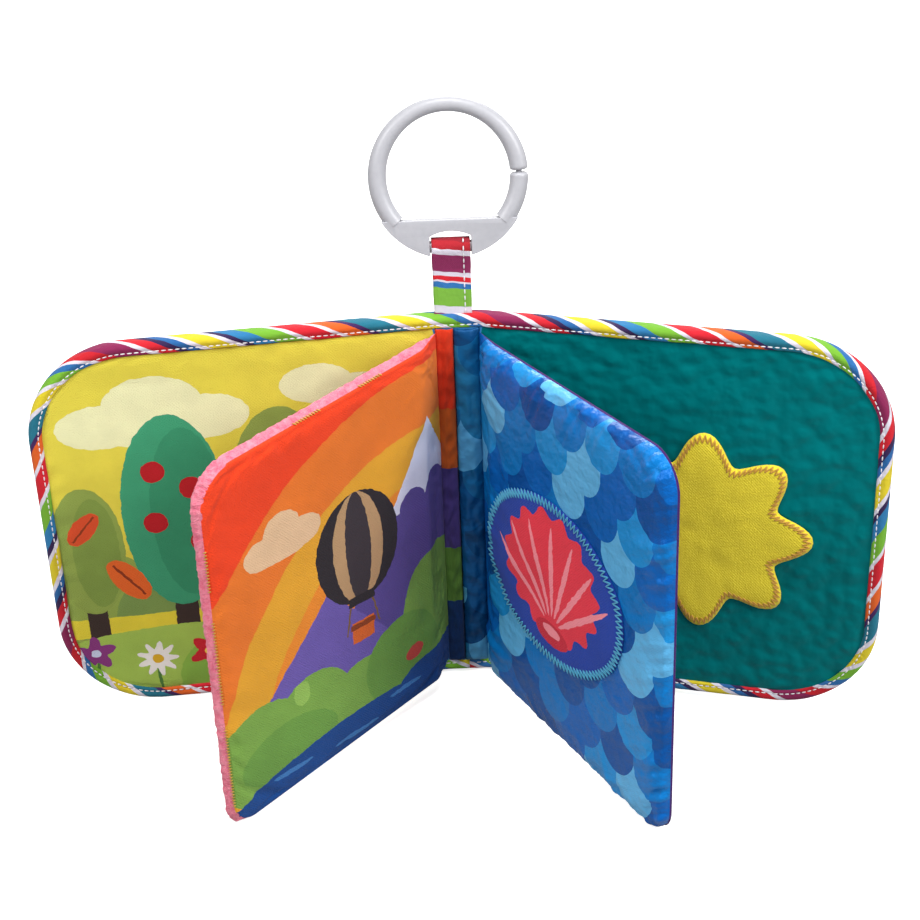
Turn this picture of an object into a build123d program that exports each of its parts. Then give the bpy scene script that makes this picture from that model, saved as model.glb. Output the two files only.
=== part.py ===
"""A padded cloth book for a baby, standing open: two bound covers, two padded leaves, a tape loop and a hang ring.

Millimetres and degrees. The origin is the middle of the spine's foot, +X runs along the covers to the reader's
right, +Y points away from the reader and +Z up. Cover and leaf pieces are drawn once, for the right-hand side,
with the hinge seam on the Z axis and the piece lying along +X. They are then swung open and set on their seam.
"""

from build123d import *
import math
import os

# Covers, measured from the hinge seam to the free edge
COVER_HEIGHT = 160.0
COVER_WIDTH = 155.0
COVER_FOOT_RISE = 3.0
COVER_CORNER_RADIUS = 39.0
COVER_THICKNESS = 6.0
COVER_FACE_BEVEL = 1.8
COVER_BACK_BEVEL = 2.0
COVER_TAPER_LENGTH = 11.0
LEFT_COVER_ANGLE = 7.6
RIGHT_COVER_ANGLE = 16.7

# Bias binding folded over the edges of the covers and the spine
BINDING_WIDTH = 5.2
BINDING_CLOTH = 1.1
BINDING_PROUD = 0.5
BINDING_EDGE_RADIUS = 2.2
BINDING_SEAM_ROOM = 0.4
FOLD_FLATS = 3

# Spine panel and the two gutter strips, between the two hinge seams
GUTTER_WIDTH = 16.8
SPINE_BULGE = 4.5
SPINE_RISE = 0.5
STRIP_SEAM_SHARE = 0.4
STRIP_BULGE_SHARE = 0.2

# Room round the sewn hinge seams, where every pad is pinched thin
SEAM_ROOM = 0.35
COVER_FACE_ROOM = 0.25
LEAF_BACK_ROOM = 0.3
PINCH = 0.4

# Leaves, measured from the hinge seam to the free edge
LEAF_WIDTH = 125.0
LEAF_FOOT_RISE = 7.2
LEAF_HEAD_DROP = 6.6
LEAF_SHUT_ROOM = 0.5
LEAF_SEAM_ROOM = 0.9
LEAF_TAPER_LENGTH = 14.0
LEAF_TOP_CORNER_RADIUS = 14.0
LEAF_FOOT_CORNER_RADIUS = 9.0
LEFT_LEAF_ANGLE = 47.0
LEFT_LEAF_SAG = 9.0
LEFT_LEAF_BACK_DEPTH = 5.6
RIGHT_LEAF_ANGLE = 59.5
RIGHT_LEAF_SAG = 0.5
RIGHT_LEAF_BACK_DEPTH = 2.4
LEAF_EDGE_SHARE = 0.7

# Applique patches, sewn flat on the cloth
PATCH_THICKNESS = 0.9
OVAL_LENGTH = 90.0
OVAL_HEIGHT = 68.0
OVAL_REACH = 59.0
OVAL_CENTRE_HEIGHT = 75.0
SUN_REACH = 86.0
SUN_CENTRE_HEIGHT = 77.0
SUN_RADIUS = 43.0
SUN_VALLEY_RADIUS = 30.0
SUN_POINT_RADIUS = 5.0
SUN_RAYS = 8

# Tape loop that holds the ring
STRAP_WIDTH = 14.3
STRAP_CLOTH = 1.2
STRAP_OFFSET = -1.2
STRAP_RISE = 25.9
STRAP_TONGUE_WIDTH = 8.0
STRAP_TUCK = 7.0
LOOP_CLEARANCE = 0.4
LOOP_APEX_ANGLE = 20.0

# Moulded hang ring
RING_RADIUS = 29.4
RING_ROOT_DIAMETER = 6.8
RING_CROWN_DIAMETER = 5.6
RING_BASE_THICKNESS = 6.0
RING_BASE_DROP = 15.1
RING_BASE_BEVEL = 1.0
RING_BASE_CORNER_RADIUS = 1.6
RING_BAR_RADIUS = 2.2
RING_SLOT_CLEARANCE = 1.1
RING_SLOT_HEIGHT = 3.8
RING_ARCH_RISE = 2.2
RING_LEAN_ANGLE = 12.6
RING_SPLIT_ANGLE = 2.0
RING_SPLIT = 0.8
RING_TIP_BEVEL = 1.0
RING_FACET_ANGLE = 12.0
RING_PIN_RADIUS = 1.2
RING_PIN_LENGTH = 2.6
RING_PIN_CLEARANCE = 0.2

# Cuts run past the faces that they cut by this much
OVERRUN = 5.0

# Depths through the covers: zero is the plane of the hinge seams, and the reader is at the negative side
COVER_BACK = COVER_FACE_ROOM + COVER_THICKNESS
BINDING_FRONT = COVER_FACE_ROOM - BINDING_PROUD
BINDING_BACK = COVER_BACK + BINDING_PROUD
CHANNEL_FRONT = BINDING_FRONT + BINDING_CLOTH
CHANNEL_BACK = BINDING_BACK - BINDING_CLOTH
SPINE_MIDDLE = (BINDING_FRONT + BINDING_BACK) / 2
SPINE_HALF_WIDTH = GUTTER_WIDTH / 2 - SEAM_ROOM
SPINE_TOP = COVER_HEIGHT + SPINE_RISE

# Two shut leaves fill the gutter between them
LEAF_THICKNESS = GUTTER_WIDTH / 2 - LEAF_SHUT_ROOM

# The ring's bar lies in the loop, and the ring's own frame has its origin on the bar
BAR_HEIGHT = SPINE_TOP + STRAP_RISE
LOOP_RADIUS = RING_BAR_RADIUS + LOOP_CLEARANCE
SLOT_HALF_LENGTH = STRAP_WIDTH / 2 + RING_SLOT_CLEARANCE
BAR_HALF_LENGTH = SLOT_HALF_LENGTH + RING_BAR_RADIUS
RING_CENTRE = math.sqrt(RING_RADIUS**2 - BAR_HALF_LENGTH**2) - RING_BAR_RADIUS

# The ring's tube follows one circle through both sides and the crown, with its outer edge on the ring's radius
TUBE_SIDE = RING_RADIUS - RING_ROOT_DIAMETER / 2
TUBE_CROWN = RING_RADIUS - RING_CROWN_DIAMETER / 2
TUBE_LIFT = (TUBE_CROWN**2 - TUBE_SIDE**2) / (2 * TUBE_CROWN)
TUBE_RUN = TUBE_CROWN - TUBE_LIFT

HALF_TURN_ANGLE = 180.0
SAME_PLACE = 0.001


def standing(plan, low, high):
    """Raise a plan drawing from one height to another."""
    return Pos(0, 0, low) * extrude(plan, amount=high - low, dir=(0, 0, 1))


def sheet(outline, front, back):
    """Thicken an upright outline, drawn in X and Z, from one depth to another."""
    return Pos(0, front, 0) * extrude(Plane.XZ * outline, amount=back - front, dir=(0, 1, 0))


def polygon(*points):
    """A face from its corners."""
    return make_face(Polyline(*points, close=True))


def bow(left, right, depth, bulge):
    """A plan drawing of a puffed strip: a straight chord with an arc on one side."""
    arc = ThreePointArc((left, depth), ((left + right) / 2, depth + bulge), (right, depth))
    return make_face([arc, Line((right, depth), (left, depth))])


def free_rim(solid, depth):
    """The edges round a pad's face at one depth, without the one at the hinge seam."""
    rim = solid.edges().filter_by_position(Axis.Y, depth - SAME_PLACE, depth + SAME_PLACE)
    return rim.sort_by(Axis.X)[1:]


def swing(piece, side, angle):
    """Open a right-hand piece towards the reader and stand it on its seam; side is 1 right or -1 left."""
    opened = Rot(0, 0, -angle) * piece
    if side < 0:
        opened = mirror(opened, about=Plane.YZ)
    return Pos(side * GUTTER_WIDTH / 2, -SPINE_MIDDLE, 0) * opened


def on_spine(piece):
    """Move a piece drawn from the plane of the hinge seams so that the spine's foot is at the origin."""
    return Pos(0, -SPINE_MIDDLE, 0) * piece


def cover_foot(reach, inset=0):
    """The height of a cover's foot, which rises towards the free edge, pulled in square to its line."""
    slope = COVER_FOOT_RISE / COVER_WIDTH
    return reach * slope + inset / math.cos(math.atan(slope))


def cover_outline(inset):
    """A cover's outline from the seam to the free edge, rounded at the free corners, pulled in all round."""
    free_edge = COVER_WIDTH - inset
    top = COVER_HEIGHT - inset
    face = polygon(
        (SEAM_ROOM, cover_foot(SEAM_ROOM, inset)),
        (free_edge, cover_foot(free_edge, inset)),
        (free_edge, top),
        (SEAM_ROOM, top),
    )
    corners = face.vertices().group_by(Axis.X)[-1]
    return fillet(corners, COVER_CORNER_RADIUS - inset)


def cover_wedge():
    """The room that a cover may fill, pinched at the seam so that it can fold right back."""
    free_edge = COVER_WIDTH + OVERRUN
    front = BINDING_FRONT - OVERRUN
    plan = polygon(
        (SEAM_ROOM, front),
        (free_edge, front),
        (free_edge, BINDING_BACK),
        (COVER_TAPER_LENGTH, BINDING_BACK),
        (SEAM_ROOM, PINCH),
    )
    return standing(plan, -OVERRUN, COVER_HEIGHT + OVERRUN)


def cover_pad():
    """A stuffed panel, bevelled where the tape pulls it down, with a thin rim that goes into the binding."""
    puff = sheet(cover_outline(BINDING_WIDTH), COVER_FACE_ROOM, COVER_BACK)
    puff = chamfer(free_rim(puff, COVER_FACE_ROOM), COVER_FACE_BEVEL)
    puff = chamfer(free_rim(puff, COVER_BACK), COVER_BACK_BEVEL)
    rim = sheet(cover_outline(BINDING_CLOTH + BINDING_SEAM_ROOM), CHANNEL_FRONT, CHANNEL_BACK)
    return (puff + rim) & cover_wedge()


def binding_section():
    """The folded tape cut across: how far it reaches in from the edge, and its depth, its fold in short flats."""
    fold = []
    for step in range(FOLD_FLATS + 1):
        turn = math.pi / 2 * step / FOLD_FLATS
        reach = BINDING_EDGE_RADIUS * (1 - math.sin(turn))
        depth = BINDING_EDGE_RADIUS * (1 - math.cos(turn))
        fold.append((reach, depth))
    front = [(reach, BINDING_FRONT + depth) for reach, depth in fold]
    back = [(reach, BINDING_BACK - depth) for reach, depth in reversed(fold)]
    inside = [
        (BINDING_WIDTH, BINDING_BACK),
        (BINDING_WIDTH, CHANNEL_BACK),
        (BINDING_CLOTH, CHANNEL_BACK),
        (BINDING_CLOTH, CHANNEL_FRONT),
        (BINDING_WIDTH, CHANNEL_FRONT),
        (BINDING_WIDTH, BINDING_FRONT),
    ]
    return polygon(*front, *back, *inside)


def cover_binding():
    """The tape swept round the three free sides of a cover."""
    edge = Plane.XZ * FilletPolyline(
        (SEAM_ROOM, COVER_HEIGHT),
        (COVER_WIDTH, COVER_HEIGHT),
        (COVER_WIDTH, cover_foot(COVER_WIDTH)),
        (SEAM_ROOM, cover_foot(SEAM_ROOM)),
        radius=COVER_CORNER_RADIUS,
    )
    start = Plane(origin=edge @ 0, x_dir=(0, 0, -1), z_dir=edge % 0)
    return sweep(start * binding_section(), path=edge) & cover_wedge()


def spine_wedge():
    """The room that the spine may fill behind the seams, pinched at both."""
    shoulder = SPINE_HALF_WIDTH - (BINDING_BACK - PINCH) * SPINE_HALF_WIDTH / (2 * SPINE_BULGE)
    front = BINDING_FRONT - OVERRUN
    plan = polygon(
        (-SPINE_HALF_WIDTH, front),
        (SPINE_HALF_WIDTH, front),
        (SPINE_HALF_WIDTH, PINCH),
        (shoulder, BINDING_BACK),
        (-shoulder, BINDING_BACK),
        (-SPINE_HALF_WIDTH, PINCH),
    )
    return standing(plan, -OVERRUN, SPINE_TOP + OVERRUN)


def spine_panel():
    """The stuffed strip between the covers, bowed at the back, with a thin end in each binding."""
    plan = bow(-SPINE_HALF_WIDTH, SPINE_HALF_WIDTH, COVER_FACE_ROOM, SPINE_BULGE)
    puff = standing(plan, BINDING_WIDTH, SPINE_TOP - BINDING_WIDTH)
    end = BINDING_CLOTH + BINDING_SEAM_ROOM
    layer = polygon(
        (-SPINE_HALF_WIDTH, end),
        (SPINE_HALF_WIDTH, end),
        (SPINE_HALF_WIDTH, SPINE_TOP - end),
        (-SPINE_HALF_WIDTH, SPINE_TOP - end),
    )
    ends = sheet(layer, CHANNEL_FRONT, CHANNEL_BACK) & standing(plan, 0, SPINE_TOP)
    return puff + ends - strap_tongue()


def spine_binding(edge_height, inward):
    """The tape across one end of the spine; inward is 1 at the foot and -1 at the top."""
    start = Plane(origin=(-SPINE_HALF_WIDTH, 0, edge_height), x_dir=(0, 0, inward), z_dir=(-inward, 0, 0))
    tape = extrude(start * binding_section(), amount=2 * SPINE_HALF_WIDTH, dir=(1, 0, 0))
    return (tape & spine_wedge()) - strap_tongue()


def gutter_strip(left, right):
    """One puffed strip of the gutter, between the bindings at the top and the foot."""
    plan = bow(left, right, 0, -STRIP_BULGE_SHARE * (right - left))
    return standing(plan, BINDING_WIDTH, SPINE_TOP - BINDING_WIDTH)


def leaf_outline(sag):
    """A leaf's outline: it stands on its outer foot corner, and its top edge sags towards the free edge."""
    head = COVER_HEIGHT - LEAF_HEAD_DROP
    toe = LEAF_WIDTH - LEAF_FOOT_CORNER_RADIUS
    foot = -LEAF_FOOT_RISE * LEAF_FOOT_CORNER_RADIUS / (toe - LEAF_SEAM_ROOM)
    face = polygon(
        (LEAF_SEAM_ROOM, LEAF_FOOT_RISE),
        (LEAF_WIDTH, foot),
        (LEAF_WIDTH, head - sag),
        (LEAF_SEAM_ROOM, head),
    )
    face = fillet(face.vertices().group_by(Axis.X)[-1].sort_by(Axis.Y)[-1], LEAF_TOP_CORNER_RADIUS)
    foot_corner = face.vertices().sort_by(Axis.Y)[0]
    return fillet(foot_corner, LEAF_FOOT_CORNER_RADIUS)


def leaf_wedge():
    """The room that a leaf may fill in front of its seam, pinched so that the book can shut."""
    free_edge = LEAF_WIDTH + OVERRUN
    plan = polygon(
        (LEAF_SEAM_ROOM, -LEAF_BACK_ROOM),
        (free_edge, -LEAF_BACK_ROOM),
        (free_edge, -LEAF_THICKNESS - OVERRUN),
        (LEAF_TAPER_LENGTH, -LEAF_THICKNESS),
        (LEAF_SEAM_ROOM, -LEAF_BACK_ROOM - PINCH),
    )
    return standing(plan, -OVERRUN, COVER_HEIGHT + OVERRUN)


def leaf_face(sag, seam_depth):
    """The half of a leaf that faces the reader, from the edge seam out, rounded at its rim."""
    half = sheet(leaf_outline(sag), -LEAF_THICKNESS, -seam_depth)
    rim = free_rim(half, -LEAF_THICKNESS)
    return fillet(rim, LEAF_EDGE_SHARE * (LEAF_THICKNESS - seam_depth)) & leaf_wedge()


def leaf_back(sag, seam_depth):
    """The half of a leaf that faces the cover, bevelled at its rim."""
    half = sheet(leaf_outline(sag), -seam_depth, -LEAF_BACK_ROOM)
    rim = free_rim(half, -LEAF_BACK_ROOM)
    return chamfer(rim, LEAF_EDGE_SHARE * (seam_depth - LEAF_BACK_ROOM)) & leaf_wedge()


def oval_patch():
    """The oval applique on the right leaf's face."""
    oval = Pos(OVAL_REACH, OVAL_CENTRE_HEIGHT) * Ellipse(OVAL_LENGTH / 2, OVAL_HEIGHT / 2)
    return sheet(oval, -LEAF_THICKNESS - PATCH_THICKNESS, -LEAF_THICKNESS)


def sun_patch():
    """The sun applique on the right cover: rounded rays round a disc."""
    points = []
    for step in range(2 * SUN_RAYS):
        radius = SUN_VALLEY_RADIUS if step % 2 else SUN_RADIUS
        turn = math.pi * step / SUN_RAYS
        points.append((SUN_REACH + radius * math.cos(turn), SUN_CENTRE_HEIGHT + radius * math.sin(turn)))
    sun = polygon(*points)
    sun = fillet(sun.vertices(), SUN_POINT_RADIUS)
    return sheet(sun, COVER_FACE_ROOM - PATCH_THICKNESS, COVER_FACE_ROOM)


def strap_tongue():
    """The narrow end of the tape that is sewn into the top of the spine."""
    tongue = Pos(STRAP_OFFSET, SPINE_MIDDLE, SPINE_TOP - STRAP_TUCK)
    middle_low = (Align.CENTER, Align.CENTER, Align.MIN)
    return tongue * Box(STRAP_TONGUE_WIDTH, 2 * STRAP_CLOTH, STRAP_TUCK, align=middle_low)


def teardrop(radius):
    """The shape of a tape pulled tight round a bar, with its two runs meeting below."""
    apex = radius / math.sin(math.radians(LOOP_APEX_ANGLE))
    across = radius * math.cos(math.radians(LOOP_APEX_ANGLE))
    below = radius * math.sin(math.radians(LOOP_APEX_ANGLE))
    return Circle(radius) + polygon((0, -apex), (across, -below), (-across, -below))


def strap_loop():
    """Two layers of tape that rise from the spine and part round the ring's bar."""
    stem = polygon((-STRAP_CLOTH, -STRAP_RISE), (STRAP_CLOTH, -STRAP_RISE), (STRAP_CLOTH, 0), (-STRAP_CLOTH, 0))
    section = teardrop(LOOP_RADIUS + STRAP_CLOTH) + stem - teardrop(LOOP_RADIUS)
    tape = extrude(Plane.YZ * section, amount=STRAP_WIDTH / 2, both=True)
    return Pos(STRAP_OFFSET, SPINE_MIDDLE, BAR_HEIGHT) * tape + strap_tongue()


def ring_base():
    """The ring's flat crescent, with an arched slot for the tape above a round bar."""
    below = Pos(0, -RING_BASE_DROP) * Rectangle(2 * RING_RADIUS, RING_RADIUS, align=(Align.CENTER, Align.MAX))
    crescent = Circle(RING_RADIUS) & below
    crescent = fillet(crescent.vertices(), RING_BASE_CORNER_RADIUS)
    half = RING_BASE_THICKNESS / 2
    plate = sheet(Pos(0, RING_CENTRE) * crescent, -half, half)
    plate = chamfer(plate.faces().filter_by(Axis.Y).edges(), RING_BASE_BEVEL)
    slot_low = -RING_BAR_RADIUS - OVERRUN
    slot_top = RING_BAR_RADIUS + RING_SLOT_HEIGHT
    spring = slot_top - RING_ARCH_RISE
    left, right = (-SLOT_HALF_LENGTH, spring), (SLOT_HALF_LENGTH, spring)
    walls = Polyline(right, (SLOT_HALF_LENGTH, slot_low), (-SLOT_HALF_LENGTH, slot_low), left)
    slot = make_face([walls, ThreePointArc(left, (0, slot_top), right)])
    bar = Rot(0, 90, 0) * Cylinder(RING_BAR_RADIUS, 2 * BAR_HALF_LENGTH)
    return plate - sheet(slot, -RING_RADIUS, RING_RADIUS) + bar


def ring_arc(start, end):
    """The tube's middle line from one angle to another, measured up from the right-hand side."""
    return Plane.XZ * (Pos(0, RING_CENTRE + TUBE_LIFT) * CenterArc((0, 0), TUBE_RUN, start, end - start))


def tube_section(path, share, diameter):
    """The tube cut across at a share of the way along its middle line."""
    return Plane(origin=path @ share, z_dir=path % share) * Circle(diameter / 2)


def ring_tube(tip, root):
    """A stretch of tube from a bevelled free tip to its root in the base, slimmer the nearer it is to the crown."""
    path = ring_arc(tip, root)
    tip_share = RING_TIP_BEVEL / path.length
    steps = round(abs(root - tip) / RING_FACET_ANGLE)
    sections = [tube_section(path, 0, RING_ROOT_DIAMETER - 2 * RING_TIP_BEVEL)]
    for step in range(steps + 1):
        share = tip_share + (1 - tip_share) * step / steps
        height_share = max(math.sin(math.radians(tip + share * (root - tip))), 0)
        slimming = (RING_ROOT_DIAMETER - RING_CROWN_DIAMETER) * height_share**2
        sections.append(tube_section(path, share, RING_ROOT_DIAMETER - slimming))
    return loft(sections, ruled=True)


def hang_ring():
    """The moulded ring in one piece, split at one side by a pin and its socket, leaning back on the loop."""
    dip = math.degrees(math.asin((RING_BASE_DROP + RING_BASE_BEVEL + TUBE_LIFT) / TUBE_RUN))
    half_split = math.degrees(RING_SPLIT / 2 / TUBE_RUN)
    upper_tube = ring_tube(RING_SPLIT_ANGLE + half_split, HALF_TURN_ANGLE + dip)
    lower_tip = RING_SPLIT_ANGLE - half_split
    lower_tube = ring_tube(lower_tip, -dip)

    lower_line = ring_arc(lower_tip, -dip)
    tip = Plane(origin=lower_line @ 0, z_dir=lower_line % 0)
    pin = tip * Cylinder(RING_PIN_RADIUS, 2 * RING_PIN_LENGTH)
    socket = tip * Cylinder(RING_PIN_RADIUS + RING_PIN_CLEARANCE, 2 * (RING_PIN_LENGTH + RING_PIN_CLEARANCE))
    ring = ring_base() + (upper_tube - socket) + lower_tube + pin
    leaning = Rot(-RING_LEAN_ANGLE, 0, 0) * ring
    return Pos(STRAP_OFFSET, SPINE_MIDDLE, BAR_HEIGHT) * leaning


def strips():
    """The two gutter strips, which meet at a seam left of the middle."""
    seam = -SPINE_HALF_WIDTH + STRIP_SEAM_SHARE * 2 * SPINE_HALF_WIDTH
    return gutter_strip(-SPINE_HALF_WIDTH, seam), gutter_strip(seam, SPINE_HALF_WIDTH)


def build():
    """Every piece by its name, standing open on its foot."""
    print_strip, satin_strip = strips()
    return {
        "spine_panel": on_spine(spine_panel()),
        "spine_binding_top": on_spine(spine_binding(SPINE_TOP, -1)),
        "spine_binding_foot": on_spine(spine_binding(0, 1)),
        "gutter_print_strip": on_spine(print_strip),
        "gutter_satin_strip": on_spine(satin_strip),
        "strap_loop": on_spine(strap_loop()),
        "hang_ring": on_spine(hang_ring()),
        "left_cover_pad": swing(cover_pad(), -1, LEFT_COVER_ANGLE),
        "left_cover_binding": swing(cover_binding(), -1, LEFT_COVER_ANGLE),
        "right_cover_pad": swing(cover_pad(), 1, RIGHT_COVER_ANGLE),
        "right_cover_binding": swing(cover_binding(), 1, RIGHT_COVER_ANGLE),
        "sun_patch": swing(sun_patch(), 1, RIGHT_COVER_ANGLE),
        "left_leaf_face": swing(leaf_face(LEFT_LEAF_SAG, LEFT_LEAF_BACK_DEPTH), -1, LEFT_LEAF_ANGLE),
        "left_leaf_back": swing(leaf_back(LEFT_LEAF_SAG, LEFT_LEAF_BACK_DEPTH), -1, LEFT_LEAF_ANGLE),
        "right_leaf_face": swing(leaf_face(RIGHT_LEAF_SAG, RIGHT_LEAF_BACK_DEPTH), 1, RIGHT_LEAF_ANGLE),
        "right_leaf_back": swing(leaf_back(RIGHT_LEAF_SAG, RIGHT_LEAF_BACK_DEPTH), 1, RIGHT_LEAF_ANGLE),
        "oval_patch": swing(oval_patch(), 1, RIGHT_LEAF_ANGLE),
    }


os.makedirs("parts", exist_ok=True)
for name, piece in build().items():
    export_step(piece, f"parts/{name}.step")
    print(name, round(piece.volume), piece.bounding_box())
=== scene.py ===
# %% [markdown]
# # A baby's cloth book, dressed around its solids
# The solids of the book are loaded first, as a fixed frame. Every soft solid is then replaced by a sewn
# piece with its own cloth. Most pieces ride on the body that carries them, so the covers and leaves turn; the
# tapes and their stitches, which run over the hinges, stay where they are settled.

# %% Load the frame
import math

import bpy
import numpy as np
from mathutils import Matrix, Vector, noise


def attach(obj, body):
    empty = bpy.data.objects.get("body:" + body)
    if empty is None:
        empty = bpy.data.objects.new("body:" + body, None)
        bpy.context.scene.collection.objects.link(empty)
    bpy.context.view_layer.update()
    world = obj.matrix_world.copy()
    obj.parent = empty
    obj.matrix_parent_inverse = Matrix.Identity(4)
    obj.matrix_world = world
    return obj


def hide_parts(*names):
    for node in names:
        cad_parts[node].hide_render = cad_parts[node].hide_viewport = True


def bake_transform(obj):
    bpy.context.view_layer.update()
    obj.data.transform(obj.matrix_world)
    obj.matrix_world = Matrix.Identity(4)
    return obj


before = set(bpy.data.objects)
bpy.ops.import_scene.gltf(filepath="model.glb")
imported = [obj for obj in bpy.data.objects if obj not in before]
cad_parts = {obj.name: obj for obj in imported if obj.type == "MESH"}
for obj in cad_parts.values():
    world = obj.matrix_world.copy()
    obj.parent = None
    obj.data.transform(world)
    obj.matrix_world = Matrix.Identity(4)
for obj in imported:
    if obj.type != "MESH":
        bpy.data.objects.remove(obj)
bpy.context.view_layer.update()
MM = 0.001

# %% [markdown]
# ## Sizes
# The book is four flat panels that stand on two sewn seams. It is easiest to sew each panel flat on a table and
# stand it up at the end, as a maker does. So a panel lies in its own XY plane: x runs from the seam, to the right
# for right-hand panels and to the left for left-hand ones, y runs up the page, and z comes up to the reader.
# All sizes are in millimetres and all angles in degrees.

# %% Sizes and panel frames
COVER_HEIGHT, COVER_WIDTH, COVER_CORNER, COVER_FOOT_RISE = 160.0, 155.0, 39.0, 3.0
LEAF_WIDTH, LEAF_HEAD, LEAF_FOOT_RISE = 125.0, 153.4, 7.2
BINDING_WIDTH = 5.2
GUTTER, SEAM_DEPTH = 16.8, -3.25
LEFT, RIGHT = -1, 1
COVER_ANGLE = {LEFT: 7.6, RIGHT: 16.7}
LEAF_ANGLE = {LEFT: 47.0, RIGHT: 59.5}
LEAF_SAG = {LEFT: 9.0, RIGHT: 0.5}


def panel_frame(side, angle):
    """Where a flat panel stands: its x along the page, y up, z to the reader, turned about its seam."""
    turn = math.radians(angle)
    along = Vector((math.cos(turn), -side * math.sin(turn), 0))
    reader = Vector((-side * math.sin(turn), -math.cos(turn), 0))
    rows = Matrix((along, (0, 0, 1), reader)).transposed().to_4x4()
    rows.translation = Vector((side * GUTTER / 2, SEAM_DEPTH, 0)) * MM
    return rows


COVER_FRAME = {side: panel_frame(side, COVER_ANGLE[side]) for side in (LEFT, RIGHT)}
LEAF_FRAME = {side: panel_frame(side, LEAF_ANGLE[side]) for side in (LEFT, RIGHT)}
SPINE_FRAME = Matrix(((1, 0, 0, 0), (0, 0, -1, SEAM_DEPTH * MM), (0, 1, 0, 0), (0, 0, 0, 1)))
print("left leaf's frame", [round(x, 3) for x in LEAF_FRAME[LEFT].to_euler()])

# %% [markdown]
# ## Helpers for a sewn piece
# Operators act on whatever is selected, so everything is deselected before a piece is made. Points are read and
# written as one array in millimetres, which is how the cloth is shaped. A finished piece is stood in its frame and
# the turn is applied, so its object ends at the origin.

# %% Helpers for pieces
MERGE_GAP = 0.002


def select_only(*pieces):
    bpy.ops.object.select_all(action="DESELECT")
    for piece in pieces:
        piece.select_set(True)
    bpy.context.view_layer.objects.active = pieces[-1]


def read_rows(rows, key):
    flat = np.empty(len(rows) * 3)
    rows.foreach_get(key, flat)
    return flat.reshape(-1, 3)


def points_of(piece):
    return read_rows(piece.data.vertices, "co")


def normals_of(piece):
    return read_rows(piece.data.vertex_normals, "vector")


def set_points(piece, points):
    piece.data.vertices.foreach_set("co", np.asarray(points, float).ravel())
    piece.data.update()


def new_grid(name, columns, rows):
    """A square grid from -1 to 1, to be laid out as cloth."""
    bpy.ops.object.select_all(action="DESELECT")
    bpy.ops.mesh.primitive_grid_add(x_subdivisions=columns, y_subdivisions=rows, size=2)
    bpy.context.object.name = name
    return bpy.context.object


def edit_mesh(piece, operator, **settings):
    """Run one mesh operator on the whole of a piece."""
    select_only(piece)
    bpy.ops.object.mode_set(mode="EDIT")
    bpy.ops.mesh.select_all(action="SELECT")
    operator(**settings)
    bpy.ops.object.mode_set(mode="OBJECT")


def apply_modifier(piece, kind, **settings):
    """Add one modifier to a piece and apply it."""
    modifier = piece.modifiers.new(kind.title(), kind)
    for key, value in settings.items():
        setattr(modifier, key, value)
    select_only(piece)
    bpy.ops.object.modifier_apply(modifier=modifier.name)


def joined(pieces, name):
    """Several pieces as one, with points that meet merged."""
    select_only(*pieces)
    bpy.ops.object.join()
    whole = bpy.context.object
    whole.name = whole.data.name = name
    edit_mesh(whole, bpy.ops.mesh.remove_doubles, threshold=MERGE_GAP)
    return whole


def lay_uv(piece, along, across):
    """Give each point of a piece its own place on the cloth, in metres, as its UV map."""
    corners = np.empty(len(piece.data.loops), int)
    piece.data.loops.foreach_get("vertex_index", corners)
    flat = np.stack([along[corners] * MM, across[corners] * MM], 1)
    piece.data.uv_layers.active.data.foreach_set("uv", flat.ravel())


def settle(piece, place):
    """Stand a flat piece, drawn in millimetres, in its frame, apply the turn and smooth it."""
    piece.matrix_world = place @ Matrix.Scale(MM, 4)
    select_only(piece)
    bpy.ops.object.transform_apply(location=True, rotation=True, scale=True)
    bpy.ops.object.shade_smooth()


def stand(piece, place, body, *nodes):
    """Settle a piece in its frame, and let it ride on its body in place of its solids."""
    settle(piece, place)
    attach(piece, body)
    if nodes:
        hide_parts(*nodes)
    print(piece.name, "faces", len(piece.data.polygons), "rides on", body)


# %% Helpers for shapes
def noise_at(*axes):
    """Smooth noise at many places, given as their three coordinates."""
    return np.array([noise.noise(Vector(place)) for place in np.broadcast(*axes)])


def unit(rows):
    return rows / np.linalg.norm(rows, axis=1, keepdims=True)


def run_along(line):
    """How far along a line each of its points lies."""
    return np.concatenate([[0], np.cumsum(np.linalg.norm(np.diff(line, axis=0), axis=1))])


def rounded(inside, width, fullness=2):
    """A rounded rise from a seam: 0 at the seam, 1 at a width inside it, and squarer the fuller it is."""
    return (1 - (1 - np.clip(inside / width, 0, 1)) ** fullness) ** (1 / fullness)


# %% [markdown]
# ## Nodes and colours
# Colours are written as the sRGB hex values that an eye would pick from cloth in even light, and one function turns
# them to the linear values that a shader needs. A few colours also carry painted shade or painted highlight, as said
# where they are set. One small function adds a node with its settings and its links.

# %% Helpers for materials
def colour(hex_value):
    parts = [int(hex_value[i : i + 2], 16) / 255 for i in (1, 3, 5)]
    linear = [c / 12.92 if c <= 0.04045 else ((c + 0.055) / 1.055) ** 2.4 for c in parts]
    return (*linear, 1.0)


def node(tree, kind, inputs=None, **settings):
    """Add a node, set its settings, and link or set its inputs; a node as an input gives its first output."""
    made = tree.nodes.new("ShaderNode" + kind)
    for key, value in settings.items():
        setattr(made, key, value)
    for key, value in (inputs or {}).items():
        if isinstance(value, bpy.types.Node):
            value = value.outputs[0]
        if isinstance(value, bpy.types.NodeSocket):
            tree.links.new(value, made.inputs[key])
        else:
            made.inputs[key].default_value = value
    return made


def maths(tree, operation, *values):
    """One step of arithmetic on numbers."""
    return node(tree, "Math", dict(enumerate(values)), operation=operation)


def vector_maths(tree, operation, *values):
    """One step of arithmetic on vectors."""
    return node(tree, "VectorMath", dict(enumerate(values)), operation=operation)


def new_material(name):
    """An empty material, and its node tree."""
    material = bpy.data.materials.new(name)
    material.use_nodes = True
    material.node_tree.nodes.clear()
    return material, material.node_tree


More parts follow.
